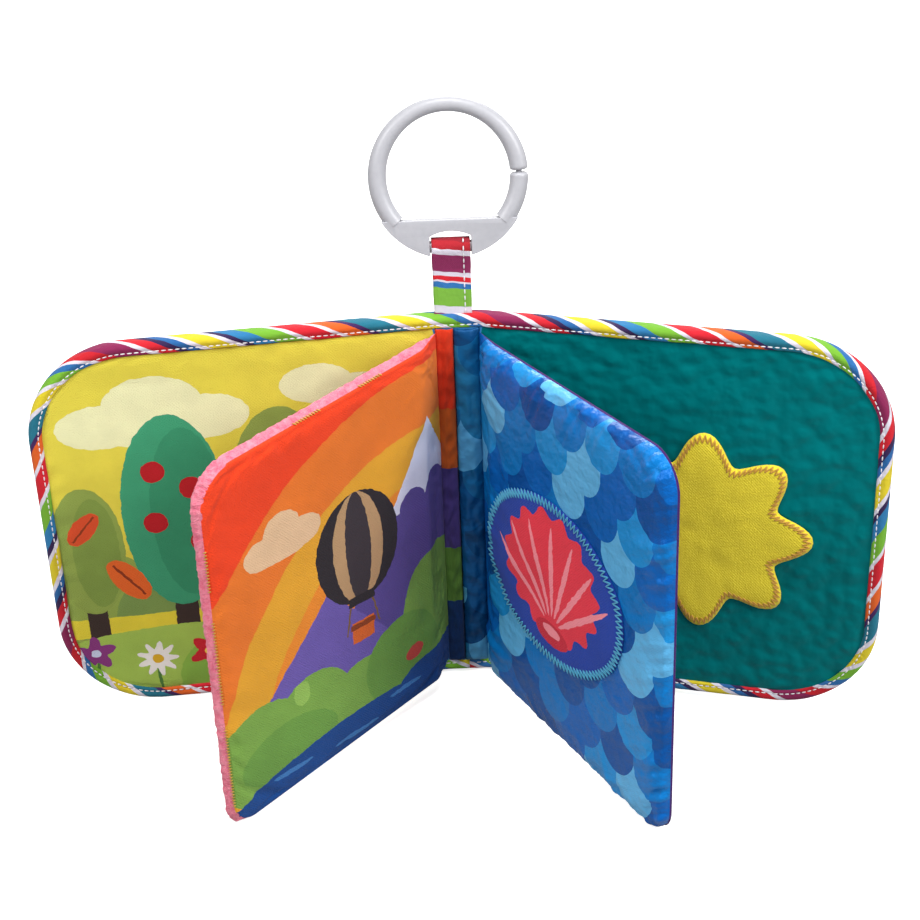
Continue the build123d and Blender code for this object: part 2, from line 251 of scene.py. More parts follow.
def flat_place(tree, place):
    """A panel's own coordinates in millimetres, taken from Object coordinates and turned to lie flat."""
    source = node(tree, "TexCoord").outputs["Object"]
    return node(tree, "Mapping", {"Vector": source, "Location": place.translation, "Rotation": place.to_euler(),
                "Scale": (MM, MM, MM)}, vector_type="TEXTURE")


def finish_surface(tree, **inputs):
    """The one shader of a material, with its inputs by name, joined to the output."""
    surface = node(tree, "BsdfPrincipled", {key.replace("_", " "): value for key, value in inputs.items()})
    node(tree, "OutputMaterial", {"Surface": surface})


def nap(tree, place, height, scale, detail, **settings):
    """The relief of a nap, of slubs or of creases, as noise of a height in millimetres."""
    tufts = node(tree, "TexNoise", {"Vector": place, "Scale": scale, "Detail": detail, **settings})
    return maths(tree, "MULTIPLY", tufts, height)


def banded(tree, share, bands):
    """Flat bands of colour along a share from 0 to 1; each band has a width and an ink."""
    ramp = node(tree, "ValToRGB", {0: share})
    ramp.color_ramp.interpolation = "CONSTANT"
    stops, repeat, position = ramp.color_ramp.elements, sum(width for width, _ in bands), 0.0
    for width, ink in bands:
        stop = stops.new(position / repeat) if position else stops[0]
        stop.color = colour(ink)
        position += width
    stops.remove(stops[-1])
    return ramp


def cloth_surface(tree, base, place, relief, thread, weave_depth, **shader):
    """A woven surface: base colour with faint tone changes, relief of fine threads, and shader settings."""
    tone = node(tree, "TexNoise", {"Vector": place, "Scale": 0.09, "Detail": 4.0})
    shade = node(tree, "MapRange", {"Value": tone, 1: 0.3, 2: 0.7, 3: 0.95, 4: 1.04})
    grey = node(tree, "CombineColor", {0: shade, 1: shade, 2: shade})
    tinted = node(tree, "Mix", {0: 1.0, 6: base, 7: grey}, data_type="RGBA", blend_type="MULTIPLY")
    scaled = node(tree, "VectorMath", {0: place, "Scale": 2 * math.pi / thread}, operation="SCALE")
    parts = node(tree, "SeparateXYZ", {0: vector_maths(tree, "SINE", scaled)})
    weave = maths(tree, "MULTIPLY", parts, parts.outputs[1])
    height = maths(tree, "MULTIPLY_ADD", weave, 0.5 * weave_depth, relief)
    bump = node(tree, "Bump", {"Height": height, "Strength": 1.0, "Distance": MM})
    finish_surface(tree, Base_Color=tinted.outputs[2], Normal=bump, **shader)


print("red thread in linear light", [round(x, 3) for x in colour("#d3222f")])

# %% [markdown]
# ## Cutting and sewing a pad
# A page is two layers of cloth sewn together round the edge with wadding between them. A grid is one layer: its
# rows crowd at the edges, where the cloth curves most, and its free corners are rounded. The two layers are joined
# along the seam, and a short cloth simulation with a little pressure inside fills the pad and lets it wrinkle.

# %% Cut a layer of cloth
CROWDING = 1.8


def cut_layer(name, side, width, height, top_corner, foot_corner, columns, rows):
    """A flat layer, its points' places, how far inside the free edges they lie and which way is out."""
    layer = new_grid(name, columns, rows)
    share = points_of(layer)
    crowded = (np.sign(share) * (1 - (1 - np.abs(share)) ** CROWDING) + 1) / 2
    x, y = crowded[:, 0] * width, crowded[:, 1] * height
    edges = np.stack([width - x, height - y, y])
    inside = edges.min(0)
    outward = np.array([(1.0, 0.0), (0.0, 1.0), (0.0, -1.0)])[edges.argmin(0)]
    for radius, up in ((top_corner, 1), (foot_corner, -1)):
        middle_x, middle_y = width - radius, height - radius if up > 0 else radius
        u, v = (x - middle_x) / radius, up * (y - middle_y) / radius
        here = (u > 0) & (v > 0)
        round_u, round_v = u * np.sqrt(1 - v**2 / 2 * here), v * np.sqrt(1 - u**2 / 2 * here)
        x[here], y[here] = (middle_x + radius * round_u)[here], (middle_y + up * radius * round_v)[here]
        spoke = np.stack([x - middle_x, y - middle_y], 1)
        inside[here] = radius - np.linalg.norm(spoke, axis=1)[here]
        outward[here] = spoke[here] / np.maximum(np.linalg.norm(spoke[here], axis=1, keepdims=True), 1e-6)
    if side == LEFT:
        edit_mesh(layer, bpy.ops.mesh.flip_normals)
    return layer, x, y, np.maximum(inside, 0), outward


def sew_pad(name, front_layer, back_layer, front_points, back_points):
    """Lay two layers at their depths, turn the back one over and sew them together round the edge."""
    set_points(front_layer, front_points)
    set_points(back_layer, back_points)
    edit_mesh(back_layer, bpy.ops.mesh.flip_normals)
    return joined([back_layer, front_layer], name)


# %% Fill a pad
SIM_SCALE, SIM_FRAMES = 0.003, 20


def fill_pad(pad, pinned, pressure, slack, cap):
    """Swell a sewn pad with its seams pinned; slack is spare cloth, and no point moves past the cap."""
    start = points_of(pad)
    seams = pad.vertex_groups.new(name="seams")
    seams.add([int(i) for i in np.flatnonzero(pinned(start))], 1.0, "REPLACE")
    set_points(pad, start * SIM_SCALE)
    cloth = pad.modifiers.new("Cloth", "CLOTH")
    cloth.settings.vertex_group_mass = "seams"
    cloth.settings.use_pressure = True
    cloth.settings.uniform_pressure_force = pressure
    cloth.settings.shrink_min = -slack
    cloth.settings.quality = 6
    cloth.settings.bending_stiffness = 0.05
    cloth.settings.effector_weights.gravity = 0
    cloth.collision_settings.use_collision = False
    cloth.point_cache.frame_start, cloth.point_cache.frame_end = 1, SIM_FRAMES
    for step in range(1, SIM_FRAMES + 1):
        bpy.context.scene.frame_set(step)
    select_only(pad)
    bpy.ops.object.modifier_apply(modifier=cloth.name)
    moved = points_of(pad) / SIM_SCALE - start
    far = np.linalg.norm(moved, axis=1, keepdims=True)
    set_points(pad, start + moved * np.minimum(1, cap / np.maximum(far, 1e-9)))
    pad.vertex_groups.clear()
    bpy.context.scene.frame_set(1)
    print(pad.name, "filled, mean move in mm", round(float(far.mean()), 2))
    apply_modifier(pad, "SUBSURF", levels=1, render_levels=1)


def rumple(points, spacing, depth, seed):
    """Soft hollows in cloth, as a move towards or away from the reader at each point."""
    return depth * noise_at(points[:, 0] / spacing, points[:, 1] / spacing, seed)


# %% [markdown]
# ## Printed cloth
# The printed pages are brushed polyester, soft and matt, with flat bright inks. A print is a list of plain shapes,
# laid one over another in a page's own millimetres, as a screen printer lays inks. The edges wander a little, since
# ink creeps into brushed cloth. A row of the list is an ink and a kind of shape, and then each shape's place, half
# sizes and turn.

# %% Lay a print
PETALS = {"flower": (5.0, 0.3), "daisy": (9.0, 0.3), "shell": (15.0, 0.07)}
INK_CREEP = 1.3


def shape_edge(tree, flat, kind, x, y, half_x, half_y, turn=0):
    """How far out each point lies in one shape, with 1 at the shape's edge."""
    own = node(tree, "Mapping", {"Vector": flat, "Location": (x, y, 0), "Rotation": (0, 0, math.radians(turn)),
               "Scale": (half_x, half_y, 1)}, vector_type="TEXTURE")
    away = vector_maths(tree, "LENGTH", own).outputs["Value"]
    parts = node(tree, "SeparateXYZ", {0: own})
    if kind == "oval":
        return away
    if kind == "bar":
        sides = node(tree, "SeparateXYZ", {0: vector_maths(tree, "ABSOLUTE", own)})
        return maths(tree, "MAXIMUM", sides, sides.outputs[1])
    if kind in PETALS:
        count, depth = PETALS[kind]
        turned = maths(tree, "ARCTAN2", parts.outputs[1], parts)
        wound = maths(tree, "MULTIPLY", turned, count)
        lobes = maths(tree, "COSINE", wound)
        return maths(tree, "MULTIPLY_ADD", lobes, -depth, away)
    below = maths(tree, "MULTIPLY_ADD", parts.outputs[1], -500.0, 0.99)
    if kind == "peak":
        wide = maths(tree, "ABSOLUTE", parts)
        away = maths(tree, "ADD", wide, parts.outputs[1])
    return maths(tree, "MAXIMUM", away, below)


def lay_print(tree, place, ground, rows):
    """Lay flat shapes over a ground colour, in order."""
    creep = node(tree, "TexNoise", {"Vector": place, "Scale": 0.35, "Detail": 2.0})
    wander = vector_maths(tree, "SUBTRACT", creep.outputs["Color"], (0.5, 0.5, 0.5))
    moved = vector_maths(tree, "MULTIPLY_ADD", wander, (INK_CREEP, INK_CREEP, 0), place)
    flat = vector_maths(tree, "MULTIPLY", moved, (1, 1, 0))
    laid = ground
    for ink, kind, *shapes in rows:
        for shape in shapes:
            inked = maths(tree, "LESS_THAN", shape_edge(tree, flat, kind, *shape), 1.0)
            laid = node(tree, "Mix", {0: inked, 6: laid, 7: colour(ink)}, data_type="RGBA").outputs[2]
    return laid


def brushed_print(name, place_frame, ground, rows):
    """Brushed polyester with a print: matt, with a short nap that catches light at the edges."""
    material, tree = new_material(name)
    place = flat_place(tree, place_frame)
    relief = nap(tree, place, height=0.5, scale=1.8, detail=3.0, Roughness=0.7)
    inked = lay_print(tree, place, colour(ground), rows)
    cloth_surface(tree, inked, place, relief, thread=1.2, weave_depth=0.12, Roughness=0.85, Sheen_Weight=0.06,
                  Sheen_Roughness=0.5, Specular_IOR_Level=0.12)
    print(name, "nodes", len(tree.nodes))
    return material


def plain_cloth(name, ink, place_frame, thread, fuzz_scale, fuzz, **shader):
    """One dyed cloth, matt, with the relief of its threads and its fuzz."""
    material, tree = new_material(name)
    place = flat_place(tree, place_frame)
    relief = nap(tree, place, fuzz, fuzz_scale, detail=3.0, Roughness=0.65)
    cloth_surface(tree, colour(ink), place, relief, thread, weave_depth=0.12, **shader)
    return material


# %% The left cover's print, a meadow with trees under a yellow sky
MEADOW = [
    ("#e9e9b6", "oval", (-128, 127, 17, 9), (-108, 134, 19, 12), (-88, 128, 16, 9), (-106, 124, 26, 7),
     (-46, 137, 14, 8), (-30, 133, 15, 7)),
    ("#93a84e", "oval", (-150, 50, 40, 26)), ("#7d9950", "oval", (-70, 40, 62, 40)),
    ("#93a84e", "oval", (-10, 60, 46, 52)), ("#e6d43e", "bar", (-80, 39, 90, 4.5)),
    ("#3c2f2a", "bar", (-62, 44, 4.2, 18)), ("#8ea24c", "oval", (-62, 91, 20, 38)),
    ("#7f9745", "oval", (-58, 90, 14, 33)), ("#3c2f2a", "bar", (-104, 42, 4.6, 14)),
    ("#3f9d72", "oval", (-104, 88, 20.5, 42)), ("#379067", "oval", (-99, 87, 14.5, 37)),
    ("#3c2f2a", "bar", (-139, 42, 4.0, 12)), ("#8ea24c", "oval", (-139, 74, 14, 28)),
    ("#7f9745", "oval", (-136, 73, 9, 24)), ("#3c2f2a", "bar", (-20, 50, 4, 18)),
    ("#3f9d72", "oval", (-20, 92, 19, 36)),
    ("#b81d24", "oval", (-111, 106, 4.6, 4.6), (-97, 98, 4.6, 4.6), (-112, 84, 4.6, 4.6),
     (-95, 74, 4.6, 4.6), (-66, 88, 3.6, 3.6), (-52, 96, 3.6, 3.6)),
    ("#a6c556", "oval", (-118, 10, 70, 27, 3)), ("#8bb84a", "oval", (-40, 8, 70, 33, -4)),
    ("#e4672a", "oval", (-125, 60, 5.6, 11, 38)), ("#8c3a1c", "bar", (-125, 60, 0.5, 9, 38)),
    ("#d9502a", "oval", (-140, 84, 4.4, 8.4, -42)), ("#8c3a1c", "bar", (-140, 84, 0.4, 7, -42)),
    ("#efe4c8", "bar", (-72, 20, 2.4, 8)), ("#b81d24", "arch", (-72, 24, 10.5, 10)),
    ("#f3eee2", "oval", (-76, 28, 1.8, 1.8), (-70, 30.5, 1.7, 1.7)),
    ("#4f7f3a", "bar", (-118, 13, 0.6, 8, 5)), ("#f5f1ea", "daisy", (-118, 22, 6.6, 6.6)),
    ("#e3b32c", "oval", (-118, 22, 2.2, 2.2)), ("#4f7f3a", "bar", (-142, 18, 0.6, 7, -6)),
    ("#8a3a7e", "flower", (-142, 27, 6.4, 6.4, 20)), ("#cfd8ef", "oval", (-142, 27, 1.9, 1.9)),
    ("#4f7f3a", "bar", (-97, 14, 0.6, 7)), ("#cc2430", "flower", (-97, 23, 6.6, 6.6, -10)),
    ("#f5d65a", "oval", (-97, 23, 2.0, 2.0)),
]
meadow_print = brushed_print("brushed_polyester_meadow", COVER_FRAME[LEFT], "#e0d24a", MEADOW)

# %% The left leaf's print, a balloon over hills at sunset
SUNSET = [
    ("#e8772a", "oval", (-14, 8, 140, 140)), ("#e3a22e", "oval", (-14, 8, 116, 116)),
    ("#ea8a2c", "oval", (-14, 8, 96, 96)), ("#5b4b93", "peak", (-14, 34, 66, 92)),
    ("#dfe0f0", "peak", (-14, 92, 24.4, 34)),
    ("#5b4b93", "oval", (-24, 92, 8, 7), (-8, 92, 8.5, 9), (5, 93, 8, 6)),
    ("#6c5aa8", "peak", (-72, 30, 46, 46)),
    ("#e6bf96", "oval", (-101, 106, 9, 6), (-91, 111, 9, 8), (-81, 107, 9, 6), (-91, 104, 14, 4.5)),
    ("#7ba549", "oval", (-108, 24, 24, 21), (-82, 27, 20, 19), (-56, 26, 17, 13), (-10, 44, 24, 24)),
    ("#6c9a44", "oval", (-34, 28, 21, 20), (-96, 20, 24, 12)),
    ("#17478a", "oval", (-66, -16, 80, 34, 2), (-10, 4, 34, 20)),
    ("#3f79b8", "oval", (-96, 10, 10, 1.1), (-62, 8, 12, 1.1), (-34, 14, 9, 1.0), (-80, 2, 9, 0.9)),
    ("#7a5a3a", "bar", (-49, 62, 0.45, 10, 14), (-61, 62, 0.45, 10, -14)),
    ("#d9662a", "bar", (-55, 52, 5.6, 4.6)), ("#8c3f1c", "bar", (-55, 54.6, 6.4, 1.1)),
    ("#2b2529", "oval", (-55, 88, 21, 23)), ("#b8936a", "oval", (-55, 88, 12.5, 23)),
    ("#3a3237", "oval", (-55, 88, 6.2, 23)), ("#2b2529", "bar", (-55, 66, 6.6, 2.0)),
    ("#c9473e", "oval", (-28, 28, 5, 3.4, 20)), ("#93bb58", "oval", (-88, 40, 4, 5)),
]
sunset_print = brushed_print("brushed_polyester_sunset", LEAF_FRAME[LEFT], "#ee441f", SUNSET)

# %% [markdown]
# ## Satin, plush and plain cloth
# The right-hand leaf is thin polyester satin, printed with overlapping scallops in five blues. A scallop row is a
# row of discs, and each row hangs over the one below it, so the shader asks whether a point lies on a disc of the
# row above. The right cover is teal satin over crackling film, pebbled all over. The back of the left leaf is pink
# plush with a short pile, and the back of the right leaf is purple velour.

# %% Scallop satin
SCALLOP_WIDTH, SCALLOP_ROW, SCALLOP_HALF = 20.0, 13.4, (10.4, 12.6)
SCALLOP_FIT = (SCALLOP_WIDTH / SCALLOP_HALF[0], SCALLOP_ROW / SCALLOP_HALF[1], 0)


def scallop_satin(name, place_frame, tints):
    """Thin satin that shines along its folds, with overlapping scallops in a mix of tints."""
    material, tree = new_material(name)
    place = flat_place(tree, place_frame)
    size = vector_maths(tree, "MULTIPLY", place, (1 / SCALLOP_WIDTH, 1 / SCALLOP_ROW, 1))
    parts = node(tree, "SeparateXYZ", {0: size})
    lower = maths(tree, "FLOOR", parts.outputs[1])
    upper = maths(tree, "ADD", lower, 1.0)
    found = []
    for row in (upper, lower):
        odd = maths(tree, "FLOORED_MODULO", row, 2.0)
        along = maths(tree, "MULTIPLY_ADD", odd, 0.5, parts)
        cell = maths(tree, "ROUND", along)
        off = maths(tree, "SUBTRACT", along, cell)
        drop = maths(tree, "SUBTRACT", parts.outputs[1], row)
        own = node(tree, "CombineXYZ", {0: off, 1: drop})
        real = vector_maths(tree, "MULTIPLY", own, SCALLOP_FIT)
        away = vector_maths(tree, "LENGTH", real).outputs["Value"]
        found.append((away, node(tree, "CombineXYZ", {0: cell, 1: row})))
    (away, above), (_, below) = found
    over = maths(tree, "LESS_THAN", away, 1.0)
    label = node(tree, "Mix", {0: over, 4: below, 5: above}, data_type="VECTOR").outputs[1]
    chance = node(tree, "TexWhiteNoise", {"Vector": label}, noise_dimensions="2D")
    spread = vector_maths(tree, "DOT_PRODUCT", label, (2.0, 1.0, 0.0)).outputs["Value"]
    shifted = maths(tree, "MULTIPLY_ADD", chance, 1.6, spread)
    step = maths(tree, "FLOORED_MODULO", shifted, float(len(tints)))
    pick = maths(tree, "MULTIPLY", step, 1 / len(tints))
    relief = nap(tree, place, height=1.5, scale=0.16, detail=5.0, Roughness=0.55)
    mixed = banded(tree, pick, [(1, ink) for ink in tints])
    cloth_surface(tree, mixed, place, relief, thread=1.0, weave_depth=0.05, Roughness=0.27, Specular_IOR_Level=0.6,
                  Specular_Tint=colour("#6ab0ff"), Anisotropic=0.4)
    return material


scallops = scallop_satin("polyester_satin_scallops", LEAF_FRAME[RIGHT],
                         ("#065cae", "#1c88cc", "#044a94", "#5cacdc", "#0a70ba"))
# The gutter's five blues are darker than the leaf's, as painted shade for the deep gutter.
gutter_satin = scallop_satin("polyester_satin_gutter_painted_shade", SPINE_FRAME,
                             ("#0a4678", "#1b6690", "#073a66", "#4a8fb8", "#0d5584"))
print("scallops", SCALLOP_WIDTH, "mm wide")

# %% Pebbled satin, plush, velour and outer cloth
def pebbled_satin(name, ink, place_frame):
    """Satin over crackling film: small soft pebbles that each catch the light."""
    material, tree = new_material(name)
    place = flat_place(tree, place_frame)
    pebbles = node(tree, "TexVoronoi", {"Vector": place, "Scale": 0.22, "Smoothness": 0.8}, feature="SMOOTH_F1")
    crease = node(tree, "TexNoise", {"Vector": place, "Scale": 0.3, "Detail": 4.0})
    mixed = maths(tree, "MULTIPLY_ADD", pebbles, -1.1, crease)
    relief = maths(tree, "MULTIPLY", mixed, 0.4)
    cloth_surface(tree, colour(ink), place, relief, thread=0.9, weave_depth=0.04, Roughness=0.42,
                  Specular_IOR_Level=0.2, Specular_Tint=colour("#58d8dc"))
    return material


def plush(name, deep, pale, place_frame):
    """Short pile with a mottled tone: painted shade deep between the tufts and painted highlight pale on their tips.
    """
    material, tree = new_material(name)
    place = flat_place(tree, place_frame)
    tufts = node(tree, "TexNoise", {"Vector": place, "Scale": 0.45, "Detail": 5.0, "Roughness": 0.7})
    # Deep pink between the tufts is painted shade, and pale pink on their tips is painted highlight.
    tone = node(tree, "ValToRGB", {0: tufts})
    for stop, position, ink in zip(tone.color_ramp.elements, (0.32, 0.68), (deep, pale)):
        stop.position, stop.color = position, colour(ink)
    relief = maths(tree, "MULTIPLY", tufts, 1.6)
    cloth_surface(tree, tone, place, relief, thread=0.9, weave_depth=0.1, Roughness=0.95, Sheen_Weight=0.25,
                  Sheen_Roughness=0.4, Specular_IOR_Level=0.1)
    return material


def outer_blue(name, place_frame):
    """The blue cloth of the book's outside: matt, with a soft bloom where it turns from the light."""
    return plain_cloth(name, "#2f80c4", place_frame, thread=1.2, fuzz_scale=1.1, fuzz=0.5, Roughness=0.85,
                       Sheen_Weight=0.3, Specular_IOR_Level=0.2)


teal_satin = pebbled_satin("polyester_satin_teal", "#006a6d", COVER_FRAME[RIGHT])
# The deep pink is painted shade between the tufts and the pale pink a painted highlight on their tips.
pink_plush = plush("polyester_plush_pink", "#e2627e", "#fa9cae", LEAF_FRAME[LEFT])
purple_velour = plain_cloth("polyester_velour_purple", "#432066", LEAF_FRAME[RIGHT], thread=0.9, fuzz_scale=1.0,
                            fuzz=0.7, Roughness=0.9, Sheen_Weight=0.08, Specular_IOR_Level=0.1)
outer_cloth = {side: outer_blue("brushed_polyester_outer", COVER_FRAME[side]) for side in (LEFT, RIGHT)}
print("plain cloths made")

# %% [markdown]
# ## The covers' pads
# A cover is a thin wadded panel. Its rim goes into the folded tape, its face dips where the tape is stitched down,
# and it is pinched thin at the spine so that it can fold right back.

# %% Cover pads
RIM_INSET, RIM_RISE, MIDDLE_RISE = 1.7, 2.3, 0.4
HINGE_DEPTH, FACE_TAPER, BACK_TAPER = -0.35, 8, 12


def cut_pair(name, side, cloths, *sizes):
    """A face and a back layer, each of its own cloth, and the places of their points."""
    layers = []
    for layer_name, cloth in zip(("face", "back"), cloths):
        layer, *places = cut_layer(f"{name}_{layer_name}", side, *sizes)
        layer.data.materials.append(cloth)
        layers.append(layer)
    return (*layers, *places)


def lift_foot(out, high):
    """Heights on a cover, whose foot rises a little towards its free edge."""
    rise = COVER_FOOT_RISE * np.clip(out, 0, None) / COVER_WIDTH
    return rise + high * (1 - rise / COVER_HEIGHT)


def from_edge(points):
    """How far points of a cover lie inside its free edges."""
    out, high = np.abs(points[:, 0]), points[:, 1]
    rise = COVER_FOOT_RISE * out / COVER_WIDTH
    return np.minimum(COVER_WIDTH - out, np.minimum(high - rise, COVER_HEIGHT - high))


def cover_pad(name, side, *cloths):
    corner = COVER_CORNER - RIM_INSET
    front, back, x, y, inside, _ = cut_pair(name, side, cloths, COVER_WIDTH - RIM_INSET,
                                            COVER_HEIGHT - 2 * RIM_INSET, corner, corner, 80, 84)
    rise = RIM_RISE * rounded(inside, 2.5) + MIDDLE_RISE * rounded(inside - 4.4, 10)
    face_depth = HINGE_DEPTH + (SEAM_DEPTH + rise - HINGE_DEPTH) * rounded(x, FACE_TAPER)
    back_depth = HINGE_DEPTH + (SEAM_DEPTH - rise - HINGE_DEPTH) * np.clip(x / BACK_TAPER, 0, 1) ** 1.15
    up = lift_foot(x, y + RIM_INSET)
    pad = sew_pad(name, front, back, *(np.stack([side * x, up, depth], 1) for depth in (face_depth, back_depth)))

    def pinned(points):
        return (from_edge(points) < BINDING_WIDTH) | (np.abs(points[:, 0]) < 2)

    fill_pad(pad, pinned, pressure=2.0, slack=0.012, cap=0.7)
    return pad


def ease_rumple(pad, spacing, depth, seed):
    """Rumple a cover's face, but not under its tape."""
    points = points_of(pad)
    free = np.minimum(from_edge(points), np.abs(points[:, 0]) + 3) - BINDING_WIDTH
    points[:, 2] += (rumple(points, spacing, depth, seed) - 0.4 * depth) * np.clip(free / 12, 0, 1)
    set_points(pad, points)


left_cover = cover_pad("left_cover_cushion", LEFT, meadow_print, outer_cloth[LEFT])
ease_rumple(left_cover, spacing=34, depth=0.9, seed=3.0)
ease_rumple(left_cover, spacing=11, depth=0.25, seed=8.0)
right_cover = cover_pad("right_cover_cushion", RIGHT, teal_satin, outer_cloth[RIGHT])
ease_rumple(right_cover, spacing=38, depth=0.8, seed=5.0)

# %% Pebbles on the teal cover
def pebble(pad, spacing, depth):
    """Push small domes out of a cover's face, one over each pebble of crackling film."""
    points = points_of(pad)
    free = np.minimum(from_edge(points), np.abs(points[:, 0])) - BINDING_WIDTH
    face = points[:, 2] > SEAM_DEPTH
    for index in np.flatnonzero(face & (free > 0)):
        near = noise.voronoi(Vector((points[index, 0] / spacing, points[index, 1] / spacing, 0)))[0][0]
        points[index, 2] += depth * (0.25 - near) * min(free[index] / 6, 1)
    set_points(pad, points)


pebble(right_cover, spacing=6.0, depth=1.25)
stand(left_cover, COVER_FRAME[LEFT], "left_cover", "left_cover_pad")
stand(right_cover, COVER_FRAME[RIGHT], "right_cover", "right_cover_pad")

# %% [markdown]
# ## The leaves
# Each leaf is a plumper cushion. The two layers meet in a seam round the edge, nearer the face on the left leaf,
# where the plush wraps round, and nearer the back on the right leaf, where the satin does. The satin puckers along
# its seams, so short gathers run in from every edge and fade out over a centimetre.

# %% Leaf cushions
LEAF_BACK, LEAF_FACE, LEAF_ROOT, LEAF_TAPER = 1.3, 7.4, 0.4, 14
LEAF_TOP_CORNER, LEAF_FOOT_CORNER = 14, 9
LEAF_CUT_HEIGHT = LEAF_HEAD - 3.5


def leaf_lines(out, side):
    """The foot and the head of a leaf at each distance from its seam."""
    foot = LEAF_FOOT_RISE * (1 - out / (LEAF_WIDTH - LEAF_FOOT_CORNER))
    return foot, LEAF_HEAD - LEAF_SAG[side] * out / LEAF_WIDTH


def leaf_cushion(name, side, *cloths, inset, seam, face_round, back_round, bulge):
    """Two layers that meet at the seam's depth; the back rolls out past the seam by its bulge."""
    front, back, x, y, inside, outward = cut_pair(name, side, cloths, LEAF_WIDTH - inset,
                                                  LEAF_CUT_HEIGHT, LEAF_TOP_CORNER, LEAF_FOOT_CORNER, 76, 88)
    thick = np.clip(x / LEAF_TAPER, 0, 1)
    face_rise, back_drop = rounded(inside, face_round, 2.4), rounded(inside, back_round, 4)
    depths = seam + (LEAF_FACE - seam) * face_rise, seam - (seam - LEAF_BACK) * back_drop
    sheets = []
    for depth, drop in zip(depths, (0 * x, back_drop)):
        flat = np.stack([x, y], 1) + outward * (bulge * 4 * drop * (1 - drop) * thick)[:, None]
        foot, head = leaf_lines(flat[:, 0], side)
        up = foot + flat[:, 1] / LEAF_CUT_HEIGHT * (head - foot)
        sheets.append(np.stack([side * flat[:, 0], up, LEAF_ROOT + (depth - LEAF_ROOT) * thick], 1))
    pad = sew_pad(name, front, back, *sheets)

    def pinned(points):
        reach, high = np.abs(points[:, 0]), points[:, 1]
        low, top = leaf_lines(reach, side)
        rim = np.minimum(LEAF_WIDTH - reach, np.minimum(high - low, top - high)) < 1.6
        return rim | (reach < 3)

    fill_pad(pad, pinned, pressure=2.5, slack=0.015, cap=0.8)
    return pad


PUCKER_WEIGHTS = np.array([0.8, 1.0, 0.45, 0.9])


def pucker(pad, side, seam, spacing, depth, run):
    """Gathers that run in over the face from the free edge, head and foot of a leaf and from its sewn hinge."""
    points, normals = points_of(pad), normals_of(pad)
    out, high = np.abs(points[:, 0]), points[:, 1]
    foot, head = leaf_lines(out, side)
    edges = np.stack([LEAF_WIDTH - out, head - high, high - foot, 0.6 * out])
    nearest, inside = edges.argmin(0), np.clip(edges.min(0), 0, None)
    along = np.where((nearest == 0) | (nearest == 3), high, out)
    ridge = (along + 0.5 * inside) / spacing
    wave = np.abs(noise_at(ridge, nearest * 9.0, inside / 40)) - 0.4
    wave += 0.8 * np.abs(noise_at(ridge / 2.2, nearest * 9.0, 4.5 + inside / 40))
    fade = np.exp(-inside / run) * np.clip((points[:, 2] - seam) / 1.2, 0, 1) * np.clip(out / 6, 0, 1)
    fade *= np.clip(np.sort(edges, 0)[1] / 9, 0, 1) * PUCKER_WEIGHTS[nearest]
    normals[:, :2] *= np.clip(0.4 + inside / 5, 0, 1)[:, None]
    points += normals * (depth * wave * fade)[:, None]
    hollows = rumple(points, 30, 1.2, 2.0 + side) * np.clip(inside / 14, 0, 1)
    points[:, 2] += hollows * np.where(points[:, 2] > 4, 1, 0.2)
    set_points(pad, points)


def fluff(pad, seam):
    """Tufts of plush on the back of a leaf and round its edge."""
    points, normals = points_of(pad), normals_of(pad)
    tuft = noise_at(*(points * 0.55).T) + 0.6 * noise_at(*(points * 1.3).T)
    shown = np.clip(seam - points[:, 2], 0, 1) * np.clip(np.abs(points[:, 0]) / 6, 0, 1)
    set_points(pad, points + normals * (0.5 * (tuft - 0.4) * shown)[:, None])


def rest_on_floor(pad):
    """Flatten the foot of a leaf where it stands on the floor."""
    points = points_of(pad)
    points[:, 1] = np.maximum(points[:, 1], 0)
    set_points(pad, points)


def seam_line(pad):
    """The points of a leaf's seam, in order from the head of its hinge round the free edge to the foot."""
    corners = [set(), set()]
    for face in pad.data.polygons:
        corners[face.material_index].update(face.vertices)
    points = points_of(pad)[sorted(set.intersection(*corners))]
    points = points[np.abs(points[:, 0]) > 3]
    turn = np.arctan2(points[:, 1] - LEAF_HEAD / 2, np.abs(points[:, 0]) - LEAF_WIDTH / 2)
    return points[np.argsort(-turn)]


left_leaf = leaf_cushion("left_leaf_cushion", LEFT, sunset_print, pink_plush, inset=1.2, seam=6.9, face_round=2.2,
                         back_round=3.4, bulge=3.0)
pucker(left_leaf, LEFT, seam=6.9, spacing=9.0, depth=1.0, run=10.0)
fluff(left_leaf, seam=6.6)
right_leaf = leaf_cushion("right_leaf_cushion", RIGHT, scallops, purple_velour, inset=0.0, seam=2.4, face_round=5.0,
                          back_round=2.0, bulge=0.5)
pucker(right_leaf, RIGHT, seam=2.4, spacing=5.0, depth=3.3, run=11.0)
for pad in (left_leaf, right_leaf):
    rest_on_floor(pad)
left_seam = seam_line(left_leaf)
stand(left_leaf, LEAF_FRAME[LEFT], "left_leaf", "left_leaf_face", "left_leaf_back")
stand(right_leaf, LEAF_FRAME[RIGHT], "right_leaf", "right_leaf_face", "right_leaf_back")

# %% [markdown]
# ## Striped bias tape
# The covers are edged with printed cotton tape, cut on the bias, so its stripes run slanting across the fold. The
# tape is made as one strip from the middle of the spine round each cover: a grid is folded over the edge by moving
# its points, and its UV map keeps the place along and across the tape, which the stripes follow.

